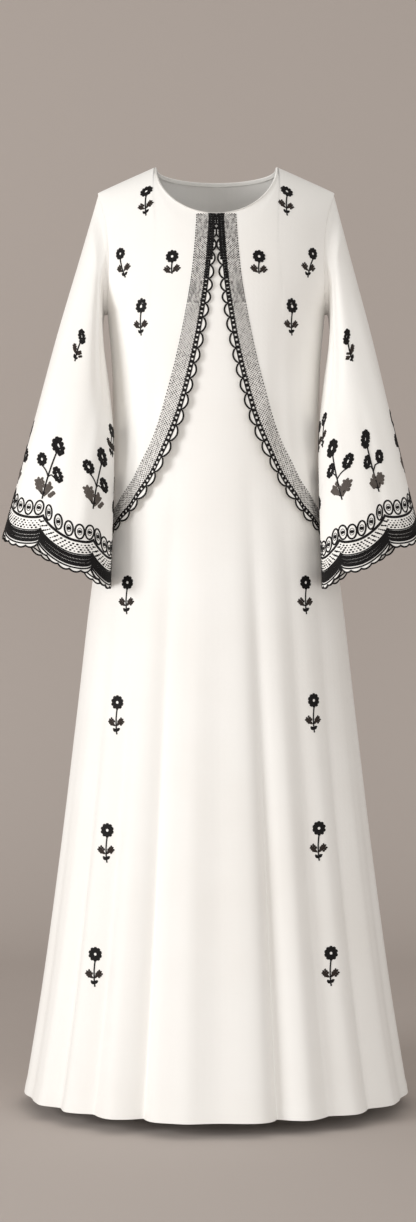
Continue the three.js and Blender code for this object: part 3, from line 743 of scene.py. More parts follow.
def thread_tree():
    """Nodes that set one bead or stitch on every point, along the point's own direction."""
    tree = bpy.data.node_groups.new("set_stitches", "GeometryNodeTree")
    face = tree.interface
    face.new_socket("Geometry", in_out="INPUT", socket_type="NodeSocketGeometry")
    for label in ("Length", "Width", "Height", "Uneven"):
        face.new_socket(label, in_out="INPUT", socket_type="NodeSocketFloat")
    face.new_socket("Material", in_out="INPUT", socket_type="NodeSocketMaterial")
    face.new_socket("Geometry", in_out="OUTPUT", socket_type="NodeSocketGeometry")
    nodes, links = tree.nodes, tree.links
    given, result = nodes.new("NodeGroupInput"), nodes.new("NodeGroupOutput")
    bead = nodes.new("GeometryNodeMeshUVSphere")
    bead.inputs["Segments"].default_value = 7
    bead.inputs["Rings"].default_value = 4
    bead.inputs["Radius"].default_value = 0.5
    size = nodes.new("ShaderNodeCombineXYZ")
    links.new(given.outputs["Length"], size.inputs["X"])
    links.new(given.outputs["Width"], size.inputs["Y"])
    links.new(given.outputs["Height"], size.inputs["Z"])
    uneven = nodes.new("FunctionNodeRandomValue")
    uneven.inputs["Seed"].default_value = 7
    low = nodes.new("ShaderNodeMath")
    low.operation = "SUBTRACT"
    low.inputs[0].default_value = 1.0
    links.new(given.outputs["Uneven"], low.inputs[1])
    high = nodes.new("ShaderNodeMath")
    high.operation = "ADD"
    high.inputs[0].default_value = 1.0
    links.new(given.outputs["Uneven"], high.inputs[1])
    links.new(low.outputs[0], uneven.inputs[2])
    links.new(high.outputs[0], uneven.inputs[3])
    scaled = nodes.new("ShaderNodeVectorMath")
    scaled.operation = "SCALE"
    links.new(size.outputs[0], scaled.inputs[0])
    links.new(uneven.outputs[1], scaled.inputs["Scale"])
    turns = []
    for label, axis, pivot in (("out", "Z", "AUTO"), ("along", "X", "Z")):
        named = nodes.new("GeometryNodeInputNamedAttribute")
        named.data_type = "FLOAT_VECTOR"
        named.inputs["Name"].default_value = label
        turn = nodes.new("FunctionNodeAlignRotationToVector")
        turn.axis = axis
        turn.pivot_axis = pivot
        links.new(named.outputs["Attribute"], turn.inputs["Vector"])
        if turns:
            links.new(turns[-1].outputs["Rotation"], turn.inputs["Rotation"])
        turns.append(turn)
    dots = nodes.new("GeometryNodeMeshToPoints")
    links.new(given.outputs["Geometry"], dots.inputs["Mesh"])
    place = nodes.new("GeometryNodeInstanceOnPoints")
    links.new(dots.outputs["Points"], place.inputs["Points"])
    links.new(bead.outputs["Mesh"], place.inputs["Instance"])
    links.new(turns[-1].outputs["Rotation"], place.inputs["Rotation"])
    links.new(scaled.outputs[0], place.inputs["Scale"])
    real = nodes.new("GeometryNodeRealizeInstances")
    links.new(place.outputs["Instances"], real.inputs["Geometry"])
    coloured = nodes.new("GeometryNodeSetMaterial")
    links.new(real.outputs["Geometry"], coloured.inputs["Geometry"])
    links.new(given.outputs["Material"], coloured.inputs["Material"])
    links.new(coloured.outputs["Geometry"], result.inputs["Geometry"])
    return tree


STITCHES = thread_tree()


def set_out(name, points, along, outs, size, made, slot, uneven=0.1):
    """One stitch or bead on every point, made real as a mesh at the origin."""
    points = np.asarray(points, dtype=float).reshape(-1, 3) * MM
    mesh = bpy.data.meshes.new(name + "_places")
    mesh.from_pydata(points.tolist(), [], [])
    for label, values in (("along", along), ("out", outs)):
        values = unit(np.broadcast_to(np.asarray(values, dtype=float), points.shape).reshape(-1, 3))
        layer = mesh.attributes.new(label, "FLOAT_VECTOR", "POINT")
        layer.data.foreach_set("vector", values.astype(np.float32).ravel())
    places = bpy.data.objects.new(name + "_places", mesh)
    bpy.context.scene.collection.objects.link(places)
    change = places.modifiers.new("stitches", "NODES")
    change.node_group = STITCHES
    sockets = {s.name: s.identifier for s in STITCHES.interface.items_tree if s.in_out == "INPUT"}
    for label, value in zip(("Length", "Width", "Height"), size):
        change[sockets[label]] = value * MM
    change[sockets["Uneven"]] = uneven
    change[sockets["Material"]] = made
    graph = bpy.context.evaluated_depsgraph_get()
    real = bpy.data.meshes.new_from_object(places.evaluated_get(graph), depsgraph=graph)
    real.polygons.foreach_set("use_smooth", [True] * len(real.polygons))
    item = bpy.data.objects.new(name, real)
    bpy.context.scene.collection.objects.link(item)
    bpy.data.objects.remove(places)
    finish_piece(item, made, slot)
    return item


def thread_material(name, colour, rough=0.6, sheen=0.02):
    made, nodes, links, bsdf = material(name)
    bsdf.inputs["Base Color"].default_value = (*colour, 1)
    bsdf.inputs["Roughness"].default_value = rough
    bsdf.inputs["Sheen Weight"].default_value = sheen
    bsdf.inputs["Specular IOR Level"].default_value = 0.16
    place = nodes.new("ShaderNodeTexCoord")
    twist = nodes.new("ShaderNodeTexNoise")
    twist.inputs["Scale"].default_value = 1500.0
    links.new(place.outputs["Object"], twist.inputs["Vector"])
    bump = nodes.new("ShaderNodeBump")
    bump.inputs["Strength"].default_value = 0.25
    bump.inputs["Distance"].default_value = 0.0003
    links.new(twist.outputs["Fac"], bump.inputs["Height"])
    links.new(bump.outputs["Normal"], bsdf.inputs["Normal"])
    return made


black_thread = thread_material("black_embroidery_thread", (0.006, 0.005, 0.005))
leaf_thread = thread_material("dark_leaf_thread", (0.03, 0.022, 0.018))
grey_thread = thread_material("grey_leaf_thread", (0.1, 0.085, 0.075))
stitch_thread = thread_material("band_stitch_thread", (0.015, 0.013, 0.012))
white_thread = thread_material("ivory_thread", (0.88, 0.865, 0.83))
bead_glass = thread_material("black_beads", (0.004, 0.004, 0.004), 0.22, 0.0)
lace_cloth = cloth_material("edging_cloth", (0.9, 0.885, 0.855), (0.87, 0.855, 0.82))
band_cloth = cloth_material("band_cloth", (0.82, 0.8, 0.77), (0.78, 0.76, 0.73))
binding_cloth = cloth_material("bias_binding", (0.92, 0.905, 0.87), (0.9, 0.88, 0.845))

# Trims beside the overlay's free edge
TRIM_GAP = 0.15
TRIM_EASE = 0.4
TRIM_END = 0.985
EDGE_STEP = 0.004
BRAID_WIDTH = 5.0
BAND_WIDTH = {"top": 17, "low": 20}
SCALLOP_COUNT = 25
SCALLOP_ROOT = 1.6
SCALLOP_DEPTH = 6.0


def dot(a, b):
    return np.sum(a * b, axis=-1)


def beside_edge(hand, share, across, lift):
    """A point on the overlay, a distance across from its free edge; positive is beyond the edge."""
    share, across, lift = np.broadcast_arrays(*(np.asarray(v, dtype=float) for v in (share, across, lift)))
    a, r = overlay_edge(hand, share)
    near = overlay_edge(hand, np.minimum(share + EDGE_STEP, 1))
    far = overlay_edge(hand, np.maximum(share - EDGE_STEP, 0))
    step_angle, step_run, out = body_frame("front", a, r)
    ahead = body_point("front", *near) - body_point("front", *far)
    beyond = unit(np.cross(ahead, out)) * (-1 if hand == "left" else 1)
    aa, ad, dd = dot(step_angle, step_angle), dot(step_angle, step_run), dot(step_run, step_run)
    ba, bd = dot(beyond, step_angle), dot(beyond, step_run)
    scale = across / (aa * dd - ad * ad)
    angle = np.clip(a + (ba * dd - bd * ad) * scale, 0, 180)
    run = np.maximum(r + (bd * aa - ba * ad) * scale, top_run("front", angle))
    ease = TRIM_GAP + TRIM_EASE * smooth((UNDERARM - height_of(angle, run)) / 100)
    point = lifted("front", angle, run, overlay_lift(angle, run) + CLOTH + ease + lift)
    limit = np.minimum if hand == "left" else np.maximum
    point[..., 0] = limit(point[..., 0], SEAM_HALF_GAP * (-1 if hand == "left" else 1))
    return point


def on_edge(hand, share, across, lift=0.0):
    """Points beside the edge with the directions out of the cloth and along the edge."""
    share, across = np.broadcast_arrays(np.asarray(share, dtype=float), np.asarray(across, dtype=float))
    point = beside_edge(hand, share, across, lift)
    out = unit(beside_edge(hand, share, across, lift + 1) - point)
    ahead = beside_edge(hand, np.minimum(share + 0.003, 1), across, lift)
    behind = beside_edge(hand, np.maximum(share - 0.003, 0), across, lift)
    return point, out, unit(ahead - behind)


def band_across(share, part):
    width = BAND_WIDTH["top"] + (BAND_WIDTH["low"] - BAND_WIDTH["top"]) * smooth(share * 2)
    return -BRAID_WIDTH - 0.2 - width * part


EDGE_LENGTH = 560.0
BAND_STITCH_ROWS = 9
BAND_STITCH_PITCH = 3.7
BAND_STITCH = (2.7, 1.5, 1.0)
BAND_WALL = 0.6
BORDER_BEADS = 118
BORDER_BEAD = (3.5, 2.0, 1.5)


def front_band(hand):
    """Band along the overlay's edge, closely covered with rows of dark running stitches."""
    share = np.linspace(0, TRIM_END, 240)[:, None]
    part = np.linspace(0, 1, 9)[None, :]
    across = band_across(share, part)
    outer = beside_edge(hand, share, across, BAND_WALL)
    inner = beside_edge(hand, share, across, 0.0)
    uv = np.stack(np.broadcast_arrays(across, share * EDGE_LENGTH), axis=-1)
    item = shell(f"front_band_cloth_{hand}", outer, inner, uv)
    finish_piece(item, band_cloth, "stitched_band", f"front_band_{hand}")
    count = int(EDGE_LENGTH / BAND_STITCH_PITCH)
    places, alongs, outs = [], [], []
    for row in range(BAND_STITCH_ROWS):
        offset = 0.5 if row % 2 else 0.0
        s = (np.arange(count - 1) + 0.3 + offset) / count * TRIM_END
        part = (row + 0.6) / (BAND_STITCH_ROWS + 0.4)
        point, out, along = on_edge(hand, s, band_across(s, part), BAND_WALL)
        places.append(point)
        alongs.append(along)
        outs.append(out)
    set_out(f"front_band_stitches_{hand}", np.concatenate(places), np.concatenate(alongs),
            np.concatenate(outs), BAND_STITCH, stitch_thread, "stitched_band", 0.24)
    s = np.linspace(0.004, TRIM_END - 0.002, BORDER_BEADS)
    point, out, along = on_edge(hand, s, band_across(s, 1.0) - 0.4, 0.2)
    set_out(f"front_band_border_{hand}", point, along, out, BORDER_BEAD, black_thread, "stitched_band")


def scallop_wave(share):
    return np.abs(np.sin(share / TRIM_END * SCALLOP_COUNT * math.pi))


LADDER_START = 0.2
RUNG_PITCH = 7.1
RUNG = (5.4, 5.2, 1.5)
BEAD_PITCH = 4.4
BEAD = (4.5, 4.3, 2.6)
# Share of the beaded length that has a second row of beads
SECOND_ROW = 0.72
EDGING_WALL = 0.5


def front_edging(hand):
    """Bead and ladder braid, and the small white scallops outlined in black beyond it."""
    share = np.linspace(0, TRIM_END, SCALLOP_COUNT * 12 + 1)
    reach = SCALLOP_ROOT + SCALLOP_DEPTH * scallop_wave(share) ** 0.7
    across = -BRAID_WIDTH + (reach + BRAID_WIDTH)[:, None] * np.linspace(0, 1, 5)[None, :]
    outer = beside_edge(hand, share[:, None], across, EDGING_WALL)
    inner = beside_edge(hand, share[:, None], across, 0.0)
    uv = np.stack(np.broadcast_arrays(across, share[:, None] * EDGE_LENGTH), axis=-1)
    item = shell(f"front_edging_cloth_{hand}", outer, inner, uv)
    finish_piece(item, lace_cloth, "black_thread", f"front_edging_{hand}")
    work = ThreadWork()
    for offset, width in ((-BRAID_WIDTH + 0.3, 2.0), (0.0, 2.3)):
        point, out, _ = on_edge(hand, share, offset, EDGING_WALL)
        work.strip(point, out, width, 0.8)
    point, out, _ = on_edge(hand, share, reach - 0.7, EDGING_WALL)
    work.strip(point, out, 2.7, 0.8)
    work.make(f"front_edging_cords_{hand}", black_thread, "black_thread")
    count = int(EDGE_LENGTH * (1 - LADDER_START) / RUNG_PITCH)
    s = LADDER_START + (TRIM_END - LADDER_START) * (np.arange(count) + 0.5) / count
    point, out, along = on_edge(hand, s, -BRAID_WIDTH / 2, EDGING_WALL)
    set_out(f"braid_rungs_{hand}", point, np.cross(out, along), out, RUNG, black_thread, "black_thread")
    count = int(EDGE_LENGTH * LADDER_START / BEAD_PITCH)
    s = LADDER_START * (np.arange(count) + 0.3) / count
    sets = [on_edge(hand, s, -BRAID_WIDTH / 2, 0.8), on_edge(hand, s[: int(count * SECOND_ROW)], 2.1, 0.8)]
    point, out, along = (np.concatenate(parts) for parts in zip(*sets))
    set_out(f"braid_beads_{hand}", point, along, out, BEAD, bead_glass, "black_thread", 0.04)


for hand in ("left", "right"):
    front_band(hand)
    front_edging(hand)


# Neck binding and back seam tape
BIND_TURN = 4.5
BIND_ROLL = 1.4
BIND_WALL = 0.7
BIND_CLEAR = 0.6
BIND_ABOVE = 0.2
BIND_STEPS = 8
NECK_STITCH = (2.6, 0.5, 0.5)
TAPE_HALF = 6.4
TAPE_FOOT = 14
HEM_STITCH = (2.4, 0.6, 0.5)


def neck_binding():
    """A leg inside the cloth and a rounded roll over its edge, swept round the neck."""
    turns = {side: np.linspace(0, 90, 31) for side in ("front", "back")}
    angle, run, side_of, turn_of = [], [], [], []
    for side in ("front", "back"):
        half = turns[side] if side == "front" else turns[side][1:]
        left = turns[side][:-1][::-1] if side == "front" else turns[side][1:-1][::-1]
        places = [(t, 1) for t in half] + [(t, -1) for t in left]
        places = places if side == "front" else places[::-1]
        for turn, sign in places:
            x = sign * NECK_HALF * math.cos(math.radians(turn))
            height = float(neck_height(side, x))
            angle.append(float(angle_of(x, height)))
            run.append(float(run_of(x, height)))
            side_of.append(side)
            turn_of.append(turn)
    edge, out = [], []
    for side, a, r in zip(side_of, angle, run):
        edge.append(body_point(side, np.array([a]), np.array([r]))[0])
        out.append(body_frame(side, np.array([a]), np.array([r]))[2][0])
    edge, out = np.array(edge), np.array(out)
    along = np.roll(edge, -1, axis=0) - np.roll(edge, 1, axis=0)
    up = unit(np.cross(along, out))
    up *= np.sign(dot(up, np.array([0, 0, 40.0]) - edge))[:, None]
    front_over = OVERLAY_SEAM + CLOTH + TRIM_GAP + 1.6
    back_over = BODY_LIFT + CLOTH + 0.3
    share = smooth(np.array(turn_of) / 6)
    over = np.where(np.array(side_of) == "front", front_over, front_over + (back_over - front_over) * share)
    inside = BODY_LIFT - BIND_CLEAR - BIND_WALL
    leg = inside + BIND_WALL
    sections = [(inside, -BIND_TURN), (leg, -BIND_TURN), (leg, BIND_ABOVE), (over, BIND_ABOVE)]
    for step in range(1, BIND_STEPS):
        share = step / BIND_STEPS
        rise = BIND_ABOVE + (BIND_ROLL + BIND_ABOVE) * math.sin(math.pi * share) ** 0.6
        sections.append((over * (1 - share) + inside * share, rise))
    rings = [edge + out * np.reshape(lift, (-1, 1)) + up * rise for lift, rise in sections]
    grid = np.stack(rings, axis=1)
    n, corners = grid.shape[:2]
    faces = []
    for i in range(n):
        for k in range(corners):
            j, m = (i + 1) % n, (k + 1) % corners
            faces.append((i * corners + k, j * corners + k, j * corners + m, i * corners + m))
    uv = np.stack(np.meshgrid(np.arange(n) * 3.0, np.arange(corners), indexing="ij"), axis=-1)
    item = new_object("neck_binding_roll", grid.reshape(-1, 3), faces, uv.reshape(-1, 2).astype(float))
    face_out(item)
    finish_piece(item, binding_cloth, "binding", "neck_binding")
    stitches = edge + out * (inside - 0.15) - up * (BIND_TURN - 1.0)
    fine = np.concatenate([stitches, (stitches + np.roll(stitches, -1, axis=0)) / 2])
    heading = np.concatenate([along, along])
    set_out("neck_binding_stitches", fine, heading, np.concatenate([-out, -out]), NECK_STITCH,
            white_thread, "binding")


def seam_tape():
    start = float(top_run("back", 90)) + BIND_TURN + 1
    run = np.linspace(start, LENGTH - TAPE_FOOT, 220)[:, None]
    turn = np.degrees(np.linspace(-TAPE_HALF, TAPE_HALF, 7)[None, :] / edge_at(height_of(90, run)))
    outer = lifted("back", 90 + turn, run, BODY_LIFT - 0.15)
    inner = lifted("back", 90 + turn, run, BODY_LIFT - 0.7)
    uv = np.stack(np.broadcast_arrays(turn * 2.5, -run), axis=-1)
    item = shell("seam_tape_cloth", outer, inner, uv)
    finish_piece(item, binding_cloth, "binding", "back_seam_tape")


neck_binding()
seam_tape()


def hem_stitches():
    """The line of stitches that holds the turned-up hem."""
    for side in ("front", "back"):
        angle = np.linspace(0.6, 179.4, 250)
        run = np.full_like(angle, LENGTH - HEM_TURN)
        point = lifted(side, angle, run, BODY_LIFT + CLOTH - 0.2)
        out = unit(lifted(side, angle, run, BODY_LIFT + CLOTH + 1) - point)
        along = np.gradient(point, axis=0)
        set_out(f"hem_stitches_{side}", point, along, out, HEM_STITCH, white_thread, "ivory_cloth")


hem_stitches()


# Where a motif lies: a front view of the garment, its distance in millimetres and its scale in
# millimetres a pixel, in which each motif has its own place on the cloth
VIEW = {"distance": 3300.0, "x": -12.0, "z": -653.0, "scale": 1.48, "centre": 216.0, "shoulder": 170.0}


def seen_at(point):
    """The place in the front view, in its own pixels, of a point on the garment."""
    near = VIEW["distance"] / (VIEW["distance"] + point[..., 1])
    x = VIEW["x"] + (point[..., 0] - VIEW["x"]) * near
    z = VIEW["z"] + (point[..., 2] - VIEW["z"]) * near
    return np.array([VIEW["centre"] + x / VIEW["scale"], VIEW["shoulder"] - z / VIEW["scale"]])


def find_place(surface, start, spans, seen):
    """The surface's two parameters at which it is seen at that place."""
    place = np.array(start, dtype=float)
    for _ in range(12):
        here = seen_at(surface(*place))
        slopes = []
        for i, span in enumerate(spans):
            ahead = place.copy()
            ahead[i] += span
            slopes.append((seen_at(surface(*ahead)) - here) / span)
        move = np.linalg.solve(np.array(slopes).T, np.array(seen) - here)
        place = place + np.clip(move, -np.array(spans) * 40, np.array(spans) * 40)
    return place


def body_ground(seen, layer):
    """Ground for a motif on the front or on an overlay: u to the viewer's right, v up."""
    def height(angle, run):
        if layer == "overlay":
            return overlay_lift(angle, run) + CLOTH
        return BODY_LIFT + CLOTH + np.zeros_like(np.asarray(angle, dtype=float))

    def surface(angle, run):
        angle, run = np.array([angle]), np.array([run])
        return lifted("front", angle, run, height(angle, run))[0]

    x = (seen[0] - VIEW["centre"]) * VIEW["scale"]
    z = -(seen[1] - VIEW["shoulder"]) * VIEW["scale"]
    start = (float(angle_of(x, z)), float(run_of(x, z)))
    angle, run = find_place(surface, start, (0.5, 2.0), seen)
    angle_size = np.linalg.norm(surface(angle + 1, run) - surface(angle - 1, run)) / 2
    run_size = np.linalg.norm(surface(angle, run + 4) - surface(angle, run - 4)) / 8

    # Going up the cloth leans inwards; the motif is kept upright
    lean = (surface(angle, run + 4)[0] - surface(angle, run - 4)[0]) / (8 * run_size)

    def ground(u, v):
        a = angle - (np.asarray(u, dtype=float) + lean * np.asarray(v, dtype=float)) / angle_size
        r = run - np.asarray(v, dtype=float) / run_size
        lift = height(a, r)
        point = lifted("front", a, r, lift)
        return point, unit(lifted("front", a, r, lift + 1) - point)

    return ground


def sleeve_surface(hand, share, turn, lift=0.0):
    """Points on a sleeve and the directions out of it."""
    point = sleeve_point(hand, share, turn, 0, lift)
    return point, unit(sleeve_point(hand, share, turn, 0, np.asarray(lift) + 1.0) - point)


def sleeve_ground(hand, share, turn):
    def size(a, b):
        return np.linalg.norm(sleeve_point(hand, *a, 0, 0) - sleeve_point(hand, *b, 0, 0))

    share_size = size((share, turn), (share - 0.02, turn)) / 0.02
    turn_size = size((share, turn + 1), (share, turn - 1)) / 2
    way = 1 if hand == "right" else -1

    def ground(u, v):
        s = share - np.asarray(v, dtype=float) / share_size
        t = turn + way * np.asarray(u, dtype=float) / turn_size
        return sleeve_surface(hand, s, t)

    return ground


def find_on_sleeve(hand, seen):
    def surface(share, turn):
        return sleeve_point(hand, np.array([share]), np.array([turn]), 0, 0)[0]

    return find_place(surface, (0.5, 90.0), (0.01, 2.0), seen)


# Motifs, drawn in their own plane in millimetres and laid on a ground
def stroke(work, ground, line, width, height=0.45, closed=False):
    work.draw(ground, line, width, height, closed)


def turned(line, angle, at=(0, 0)):
    c, s = math.cos(math.radians(angle)), math.sin(math.radians(angle))
    line = np.asarray(line, dtype=float)
    x = line[:, 0] * c - line[:, 1] * s + at[0]
    y = line[:, 0] * s + line[:, 1] * c + at[1]
    return np.stack([x, y], axis=-1)


def petal(work, ground, at, angle, inner, outer, width, height=0.6):
    """A short fat stroke of satin stitch, from inner to outer radius about a point."""
    share = np.linspace(0, 1, 6)
    line = np.stack([inner + (outer - inner) * share, np.zeros(6)], axis=-1)
    swell = np.sin(math.pi * (0.12 + 0.76 * share ** 0.8)) ** 0.8
    stroke(work, ground, turned(line, angle, at), width * swell, height)


def round_dot(work, ground, at, size, height=0.5):
    petal(work, ground, (at[0] - size / 2, at[1]), 0, 0, size, size, height)


def ring(work, ground, at, wide, tall, thread, count=20, tilt=0):
    turn = np.linspace(0, 2 * math.pi, count, endpoint=False)
    line = np.stack([np.cos(turn) * wide / 2, np.sin(turn) * tall / 2], axis=-1)
    stroke(work, ground, turned(line, tilt, at), thread, 0.45, True)


def flower(work, ground, at, size):
    """A full ten-petal head, worked closely round a small open middle."""
    radius = size / 2
    for i in range(10):
        petal(work, ground, at, 36 * i + 18, radius * 0.5, radius, radius * 0.62, 0.7)
    for share, thread in ((0.32, 0.26), (0.56, 0.32)):
        wide = radius * 2 * share
        ring(work, ground, at, wide, wide, radius * thread, 18)


def curved(start, end, bow, count=10):
    share = np.linspace(0, 1, count)[:, None]
    start, end = np.array(start, dtype=float), np.array(end, dtype=float)
    along = end - start
    side = np.array([-along[1], along[0]])
    return start + along * share + side * bow * (4 * share * (1 - share))


def leaf(work, ground, at, angle, length, width, height=0.5):
    share = np.linspace(0, 1, 9)
    line = np.stack([share * length, np.sin(share * math.pi) * length * 0.08], axis=-1)
    swell = np.sin(math.pi * (0.06 + 0.88 * share)) ** 0.9
    stroke(work, ground, turned(line, angle, at), width * swell, height)


def lobed_leaf(work, ground, at, angle, length):
    """A full leaf with three round lobes each side of its vein."""
    leaf(work, ground, at, angle, length, length * 0.42)
    for along, wide in ((0.34, 0.26), (0.56, 0.28), (0.76, 0.22)):
        for side in (-1, 1):
            foot = turned([(length * along, side * length * 0.12)], angle, at)[0]
            petal(work, ground, foot, angle + side * 55, 0, length * 0.24, length * wide)


def sprig(black, leaves, ground, head, tall, lean=0.0, base=True):
    """A flower on a stem with a pair of lobed leaves, and a small pair at its foot."""
    top = (lean * tall, tall * 0.5 - head / 2)
    foot = (-lean * tall * 0.4, -tall * 0.5)
    flower(black, ground, top, head)
    stem = curved(foot, (top[0], top[1] - head * 0.45), 0.04)
    stroke(black, ground, stem, 2.2, 0.7)
    middle = stem[3 if base else 1]
    for side in (-1, 1):
        foot_of_leaf = (middle[0] + side * 1.4, middle[1])
        lobed_leaf(leaves, ground, foot_of_leaf, 90 - side * 46, head * 0.7)
    if base:
        for angle in (138, 42):
            leaf(black, ground, stem[1], angle, head * 0.34, head * 0.24)


TALL_SPRIGS = [(127, 595), (117, 715), (107, 843), (95, 967), (306, 595), (314, 713), (319, 841), (331, 966)]
CHEST_SPRIGS = [(146, 200), (287, 200), (141, 318), (292, 318)]
SHORT_SPRIGS = [(172, 262), (259, 262)]
LEANING_SPRIGS = [((124, 262), -0.16), ((309, 262), 0.16)]
SLEEVE_SPRIGS = [("left", (79, 346)), ("right", (349, 346)), ("left", (111, 440)), ("right", (319, 437))]
# Width of the flower and height of the whole sprig, in millimetres
TALL_SIZE = (20.5, 56.0)
CHEST_SIZE = (19.0, 51.0)
SHORT_SIZE = (19.0, 35.0)
LEANING_SIZE = (18.5, 46.0)
SLEEVE_SIZE = (18.5, 48.0)
SLEEVE_BACK_SIZE = (17.0, 48.0)


def small_sprigs():
    skirt, skirt_leaves, chest, chest_leaves = ThreadWork(), ThreadWork(), ThreadWork(), ThreadWork()
    for seen in TALL_SPRIGS:
        sprig(skirt, skirt_leaves, body_ground(seen, "front"), *TALL_SIZE)
    for seen in CHEST_SPRIGS:
        sprig(chest, chest_leaves, body_ground(seen, "overlay"), *CHEST_SIZE)
    for seen in SHORT_SPRIGS:
        sprig(chest, chest_leaves, body_ground(seen, "overlay"), *SHORT_SIZE, base=False)
    for seen, lean in LEANING_SPRIGS:
        sprig(chest, chest_leaves, body_ground(seen, "overlay"), *LEANING_SIZE, lean)
    skirt.make("skirt_sprigs", black_thread, "black_thread")
    skirt_leaves.make("skirt_sprig_leaves", leaf_thread, "black_thread")
    chest.make("overlay_sprigs", black_thread, "black_thread")
    chest_leaves.make("overlay_sprig_leaves", leaf_thread, "black_thread")
    for hand in ("left", "right"):
        heads, leaves = ThreadWork(), ThreadWork()
        side_lean = 1 if hand == "left" else -1
        for side, seen in SLEEVE_SPRIGS:
            if side == hand:
                share, turn = find_on_sleeve(hand, seen)
                sprig(heads, leaves, sleeve_ground(hand, share, turn), *SLEEVE_SIZE, 0.02 * side_lean)
                back = sleeve_ground(hand, share, 380 - turn)
                sprig(heads, leaves, back, *SLEEVE_BACK_SIZE, 0.08)
        heads.make(f"sleeve_sprigs_{hand}", black_thread, "black_thread")
        leaves.make(f"sleeve_sprig_leaves_{hand}", leaf_thread, "black_thread")


small_sprigs()


# Cuff border: distances are measured up the sleeve from its scalloped edge
CUFF_BORDER = {"strokes": (5.0, 19.5), "thin": 21.5, "dots": (25.0, 28.4, 31.8, 35.2), "thick": 40.5}
OVALS = {"centre": 54.5, "wide": 13.8, "tall": 20.5, "each": 5}
CUFF_STROKES = 230
CUFF_DOTS = 82
# Width and height of a satin stroke; length, width and height of a dot
CUFF_STROKE = (1.75, 1.1)
CUFF_DOT = (3.5, 2.4, 1.3)


def cuff_place(hand, turn, up, lift=0.0):
    """A place on the cuff, with the directions out of the cloth and up the sleeve."""
    turn, up = np.broadcast_arrays(np.asarray(turn, dtype=float), np.asarray(up, dtype=float))
    top = sleeve_point(hand, np.full(turn.shape, 0.9), turn, 0, 0)
    low = sleeve_point(hand, np.ones(turn.shape), turn, 0, 0)
    length = np.linalg.norm(low - top, axis=-1) / 0.1
    share = 1 - up / length
    point, out = sleeve_surface(hand, share, turn, lift)
    above = sleeve_point(hand, share - 0.004, turn, 0, lift)
    return point, out, unit(above - point)


def cuff_edging(hand):
    """White rim between two black cords, in small scallops along the sleeve's hem."""
    turn = np.arange(600) * 0.6
    wave = np.abs(np.sin(np.radians(turn * 15))) ** 0.7
    reach = 1.6 + 3.0 * wave
    shares = np.ones_like(turn)
    across = -1.0 + (reach + 1.0)[None, :] * np.linspace(0, 1, 4)[:, None]
    outer = sleeve_point(hand, shares[None, :], turn[None, :], across, 0.25)
    inner = sleeve_point(hand, shares[None, :], turn[None, :], across, -0.85)
    uv = np.stack(np.broadcast_arrays(turn[None, :] * 1.3, across), axis=-1)
    item = shell(f"cuff_edging_cloth_{hand}", outer, inner, uv, ring=True)
    finish_piece(item, lace_cloth, "black_thread", f"cuff_edging_{hand}")
    work = ThreadWork()
    for offset, lift, width in ((reach - 0.4, 0.25, 2.4), (np.full_like(reach, -1.6), 0.1, 2.4)):
        point = sleeve_point(hand, shares, turn, offset, lift)
        out = sleeve_point(hand, shares, turn, offset, lift + 1) - point
        work.strip(point, out, width, 0.7, True)
        point = sleeve_point(hand, shares, turn, offset, -0.6 - lift)
        work.strip(point, -out, width, 0.5, True)
    work.make(f"cuff_edging_cords_{hand}", black_thread, "black_thread")


def cuff_lines(hand):
    work = ThreadWork()
    turn = np.arange(480) * 0.75
    low, high = CUFF_BORDER["strokes"]
    cords = ((CUFF_BORDER["thin"], 1.9), (CUFF_BORDER["thick"], 3.9), (low, 1.8), (high, 1.6))
    for up, width in cords:
        point, out, _ = cuff_place(hand, turn, up)
        work.strip(point, out, width, 0.5, True)
    for i in range(3):
        point, out, _ = cuff_place(hand, turn, low + (high - low) * (i + 0.5) / 3)
        work.strip(point, out, (high - low) / 3 - 0.8, 0.25, True)
    for i in range(CUFF_SCALLOPS * OVALS["each"]):
        at = CUFF_FIRST + (i + 0.5) * 360 / (CUFF_SCALLOPS * OVALS["each"])
        ground = cuff_ground(hand, at, OVALS["centre"])
        ring(work, ground, (0, 0), OVALS["wide"], OVALS["tall"], 2.8, 24)
        ring(work, ground, (0, 0), OVALS["wide"] * 0.5, OVALS["tall"] * 0.48, 0.9, 14)
        round_dot(work, ground, (0, 0), 5.4)
    work.make(f"cuff_lines_{hand}", black_thread, "black_thread")


def cuff_ground(hand, turn, up):
    """Ground on the cuff: u round the sleeve, v up it from that place."""
    low = sleeve_point(hand, 1.0, turn, 0, 0)
    length = np.linalg.norm(low - sleeve_point(hand, 0.9, turn, 0, 0)) / 0.1
    return sleeve_ground(hand, 1 - up / length, turn)


def cuff_stitches(hand):
    turn = np.arange(CUFF_STROKES) * 360 / CUFF_STROKES
    low, high = CUFF_BORDER["strokes"]
    point, out, up = cuff_place(hand, turn, (low + high) / 2, 0.1)
    stroke_size = (high - low + 2, *CUFF_STROKE)
    set_out(f"cuff_satin_strokes_{hand}", point, up, out, stroke_size, black_thread, "black_thread", 0.05)
    turn = np.arange(CUFF_DOTS) * 360 / CUFF_DOTS
    places, outs, alongs = [], [], []
    for row, up_at in enumerate(CUFF_BORDER["dots"]):
        point, out, up = cuff_place(hand, turn + row * 180 / CUFF_DOTS, up_at, 0.1)
        places.append(point)
        outs.append(out)
        alongs.append(np.cross(out, up))
    set_out(f"cuff_dots_{hand}", np.concatenate(places), np.concatenate(alongs), np.concatenate(outs),
            CUFF_DOT, black_thread, "black_thread", 0.28)


# Feet of the two tall sprigs that face the front on each sleeve, nearest the body first
TALL_FEET = {"left": [(93, 509), (42, 499)], "right": [(342, 500), (379, 492)]}
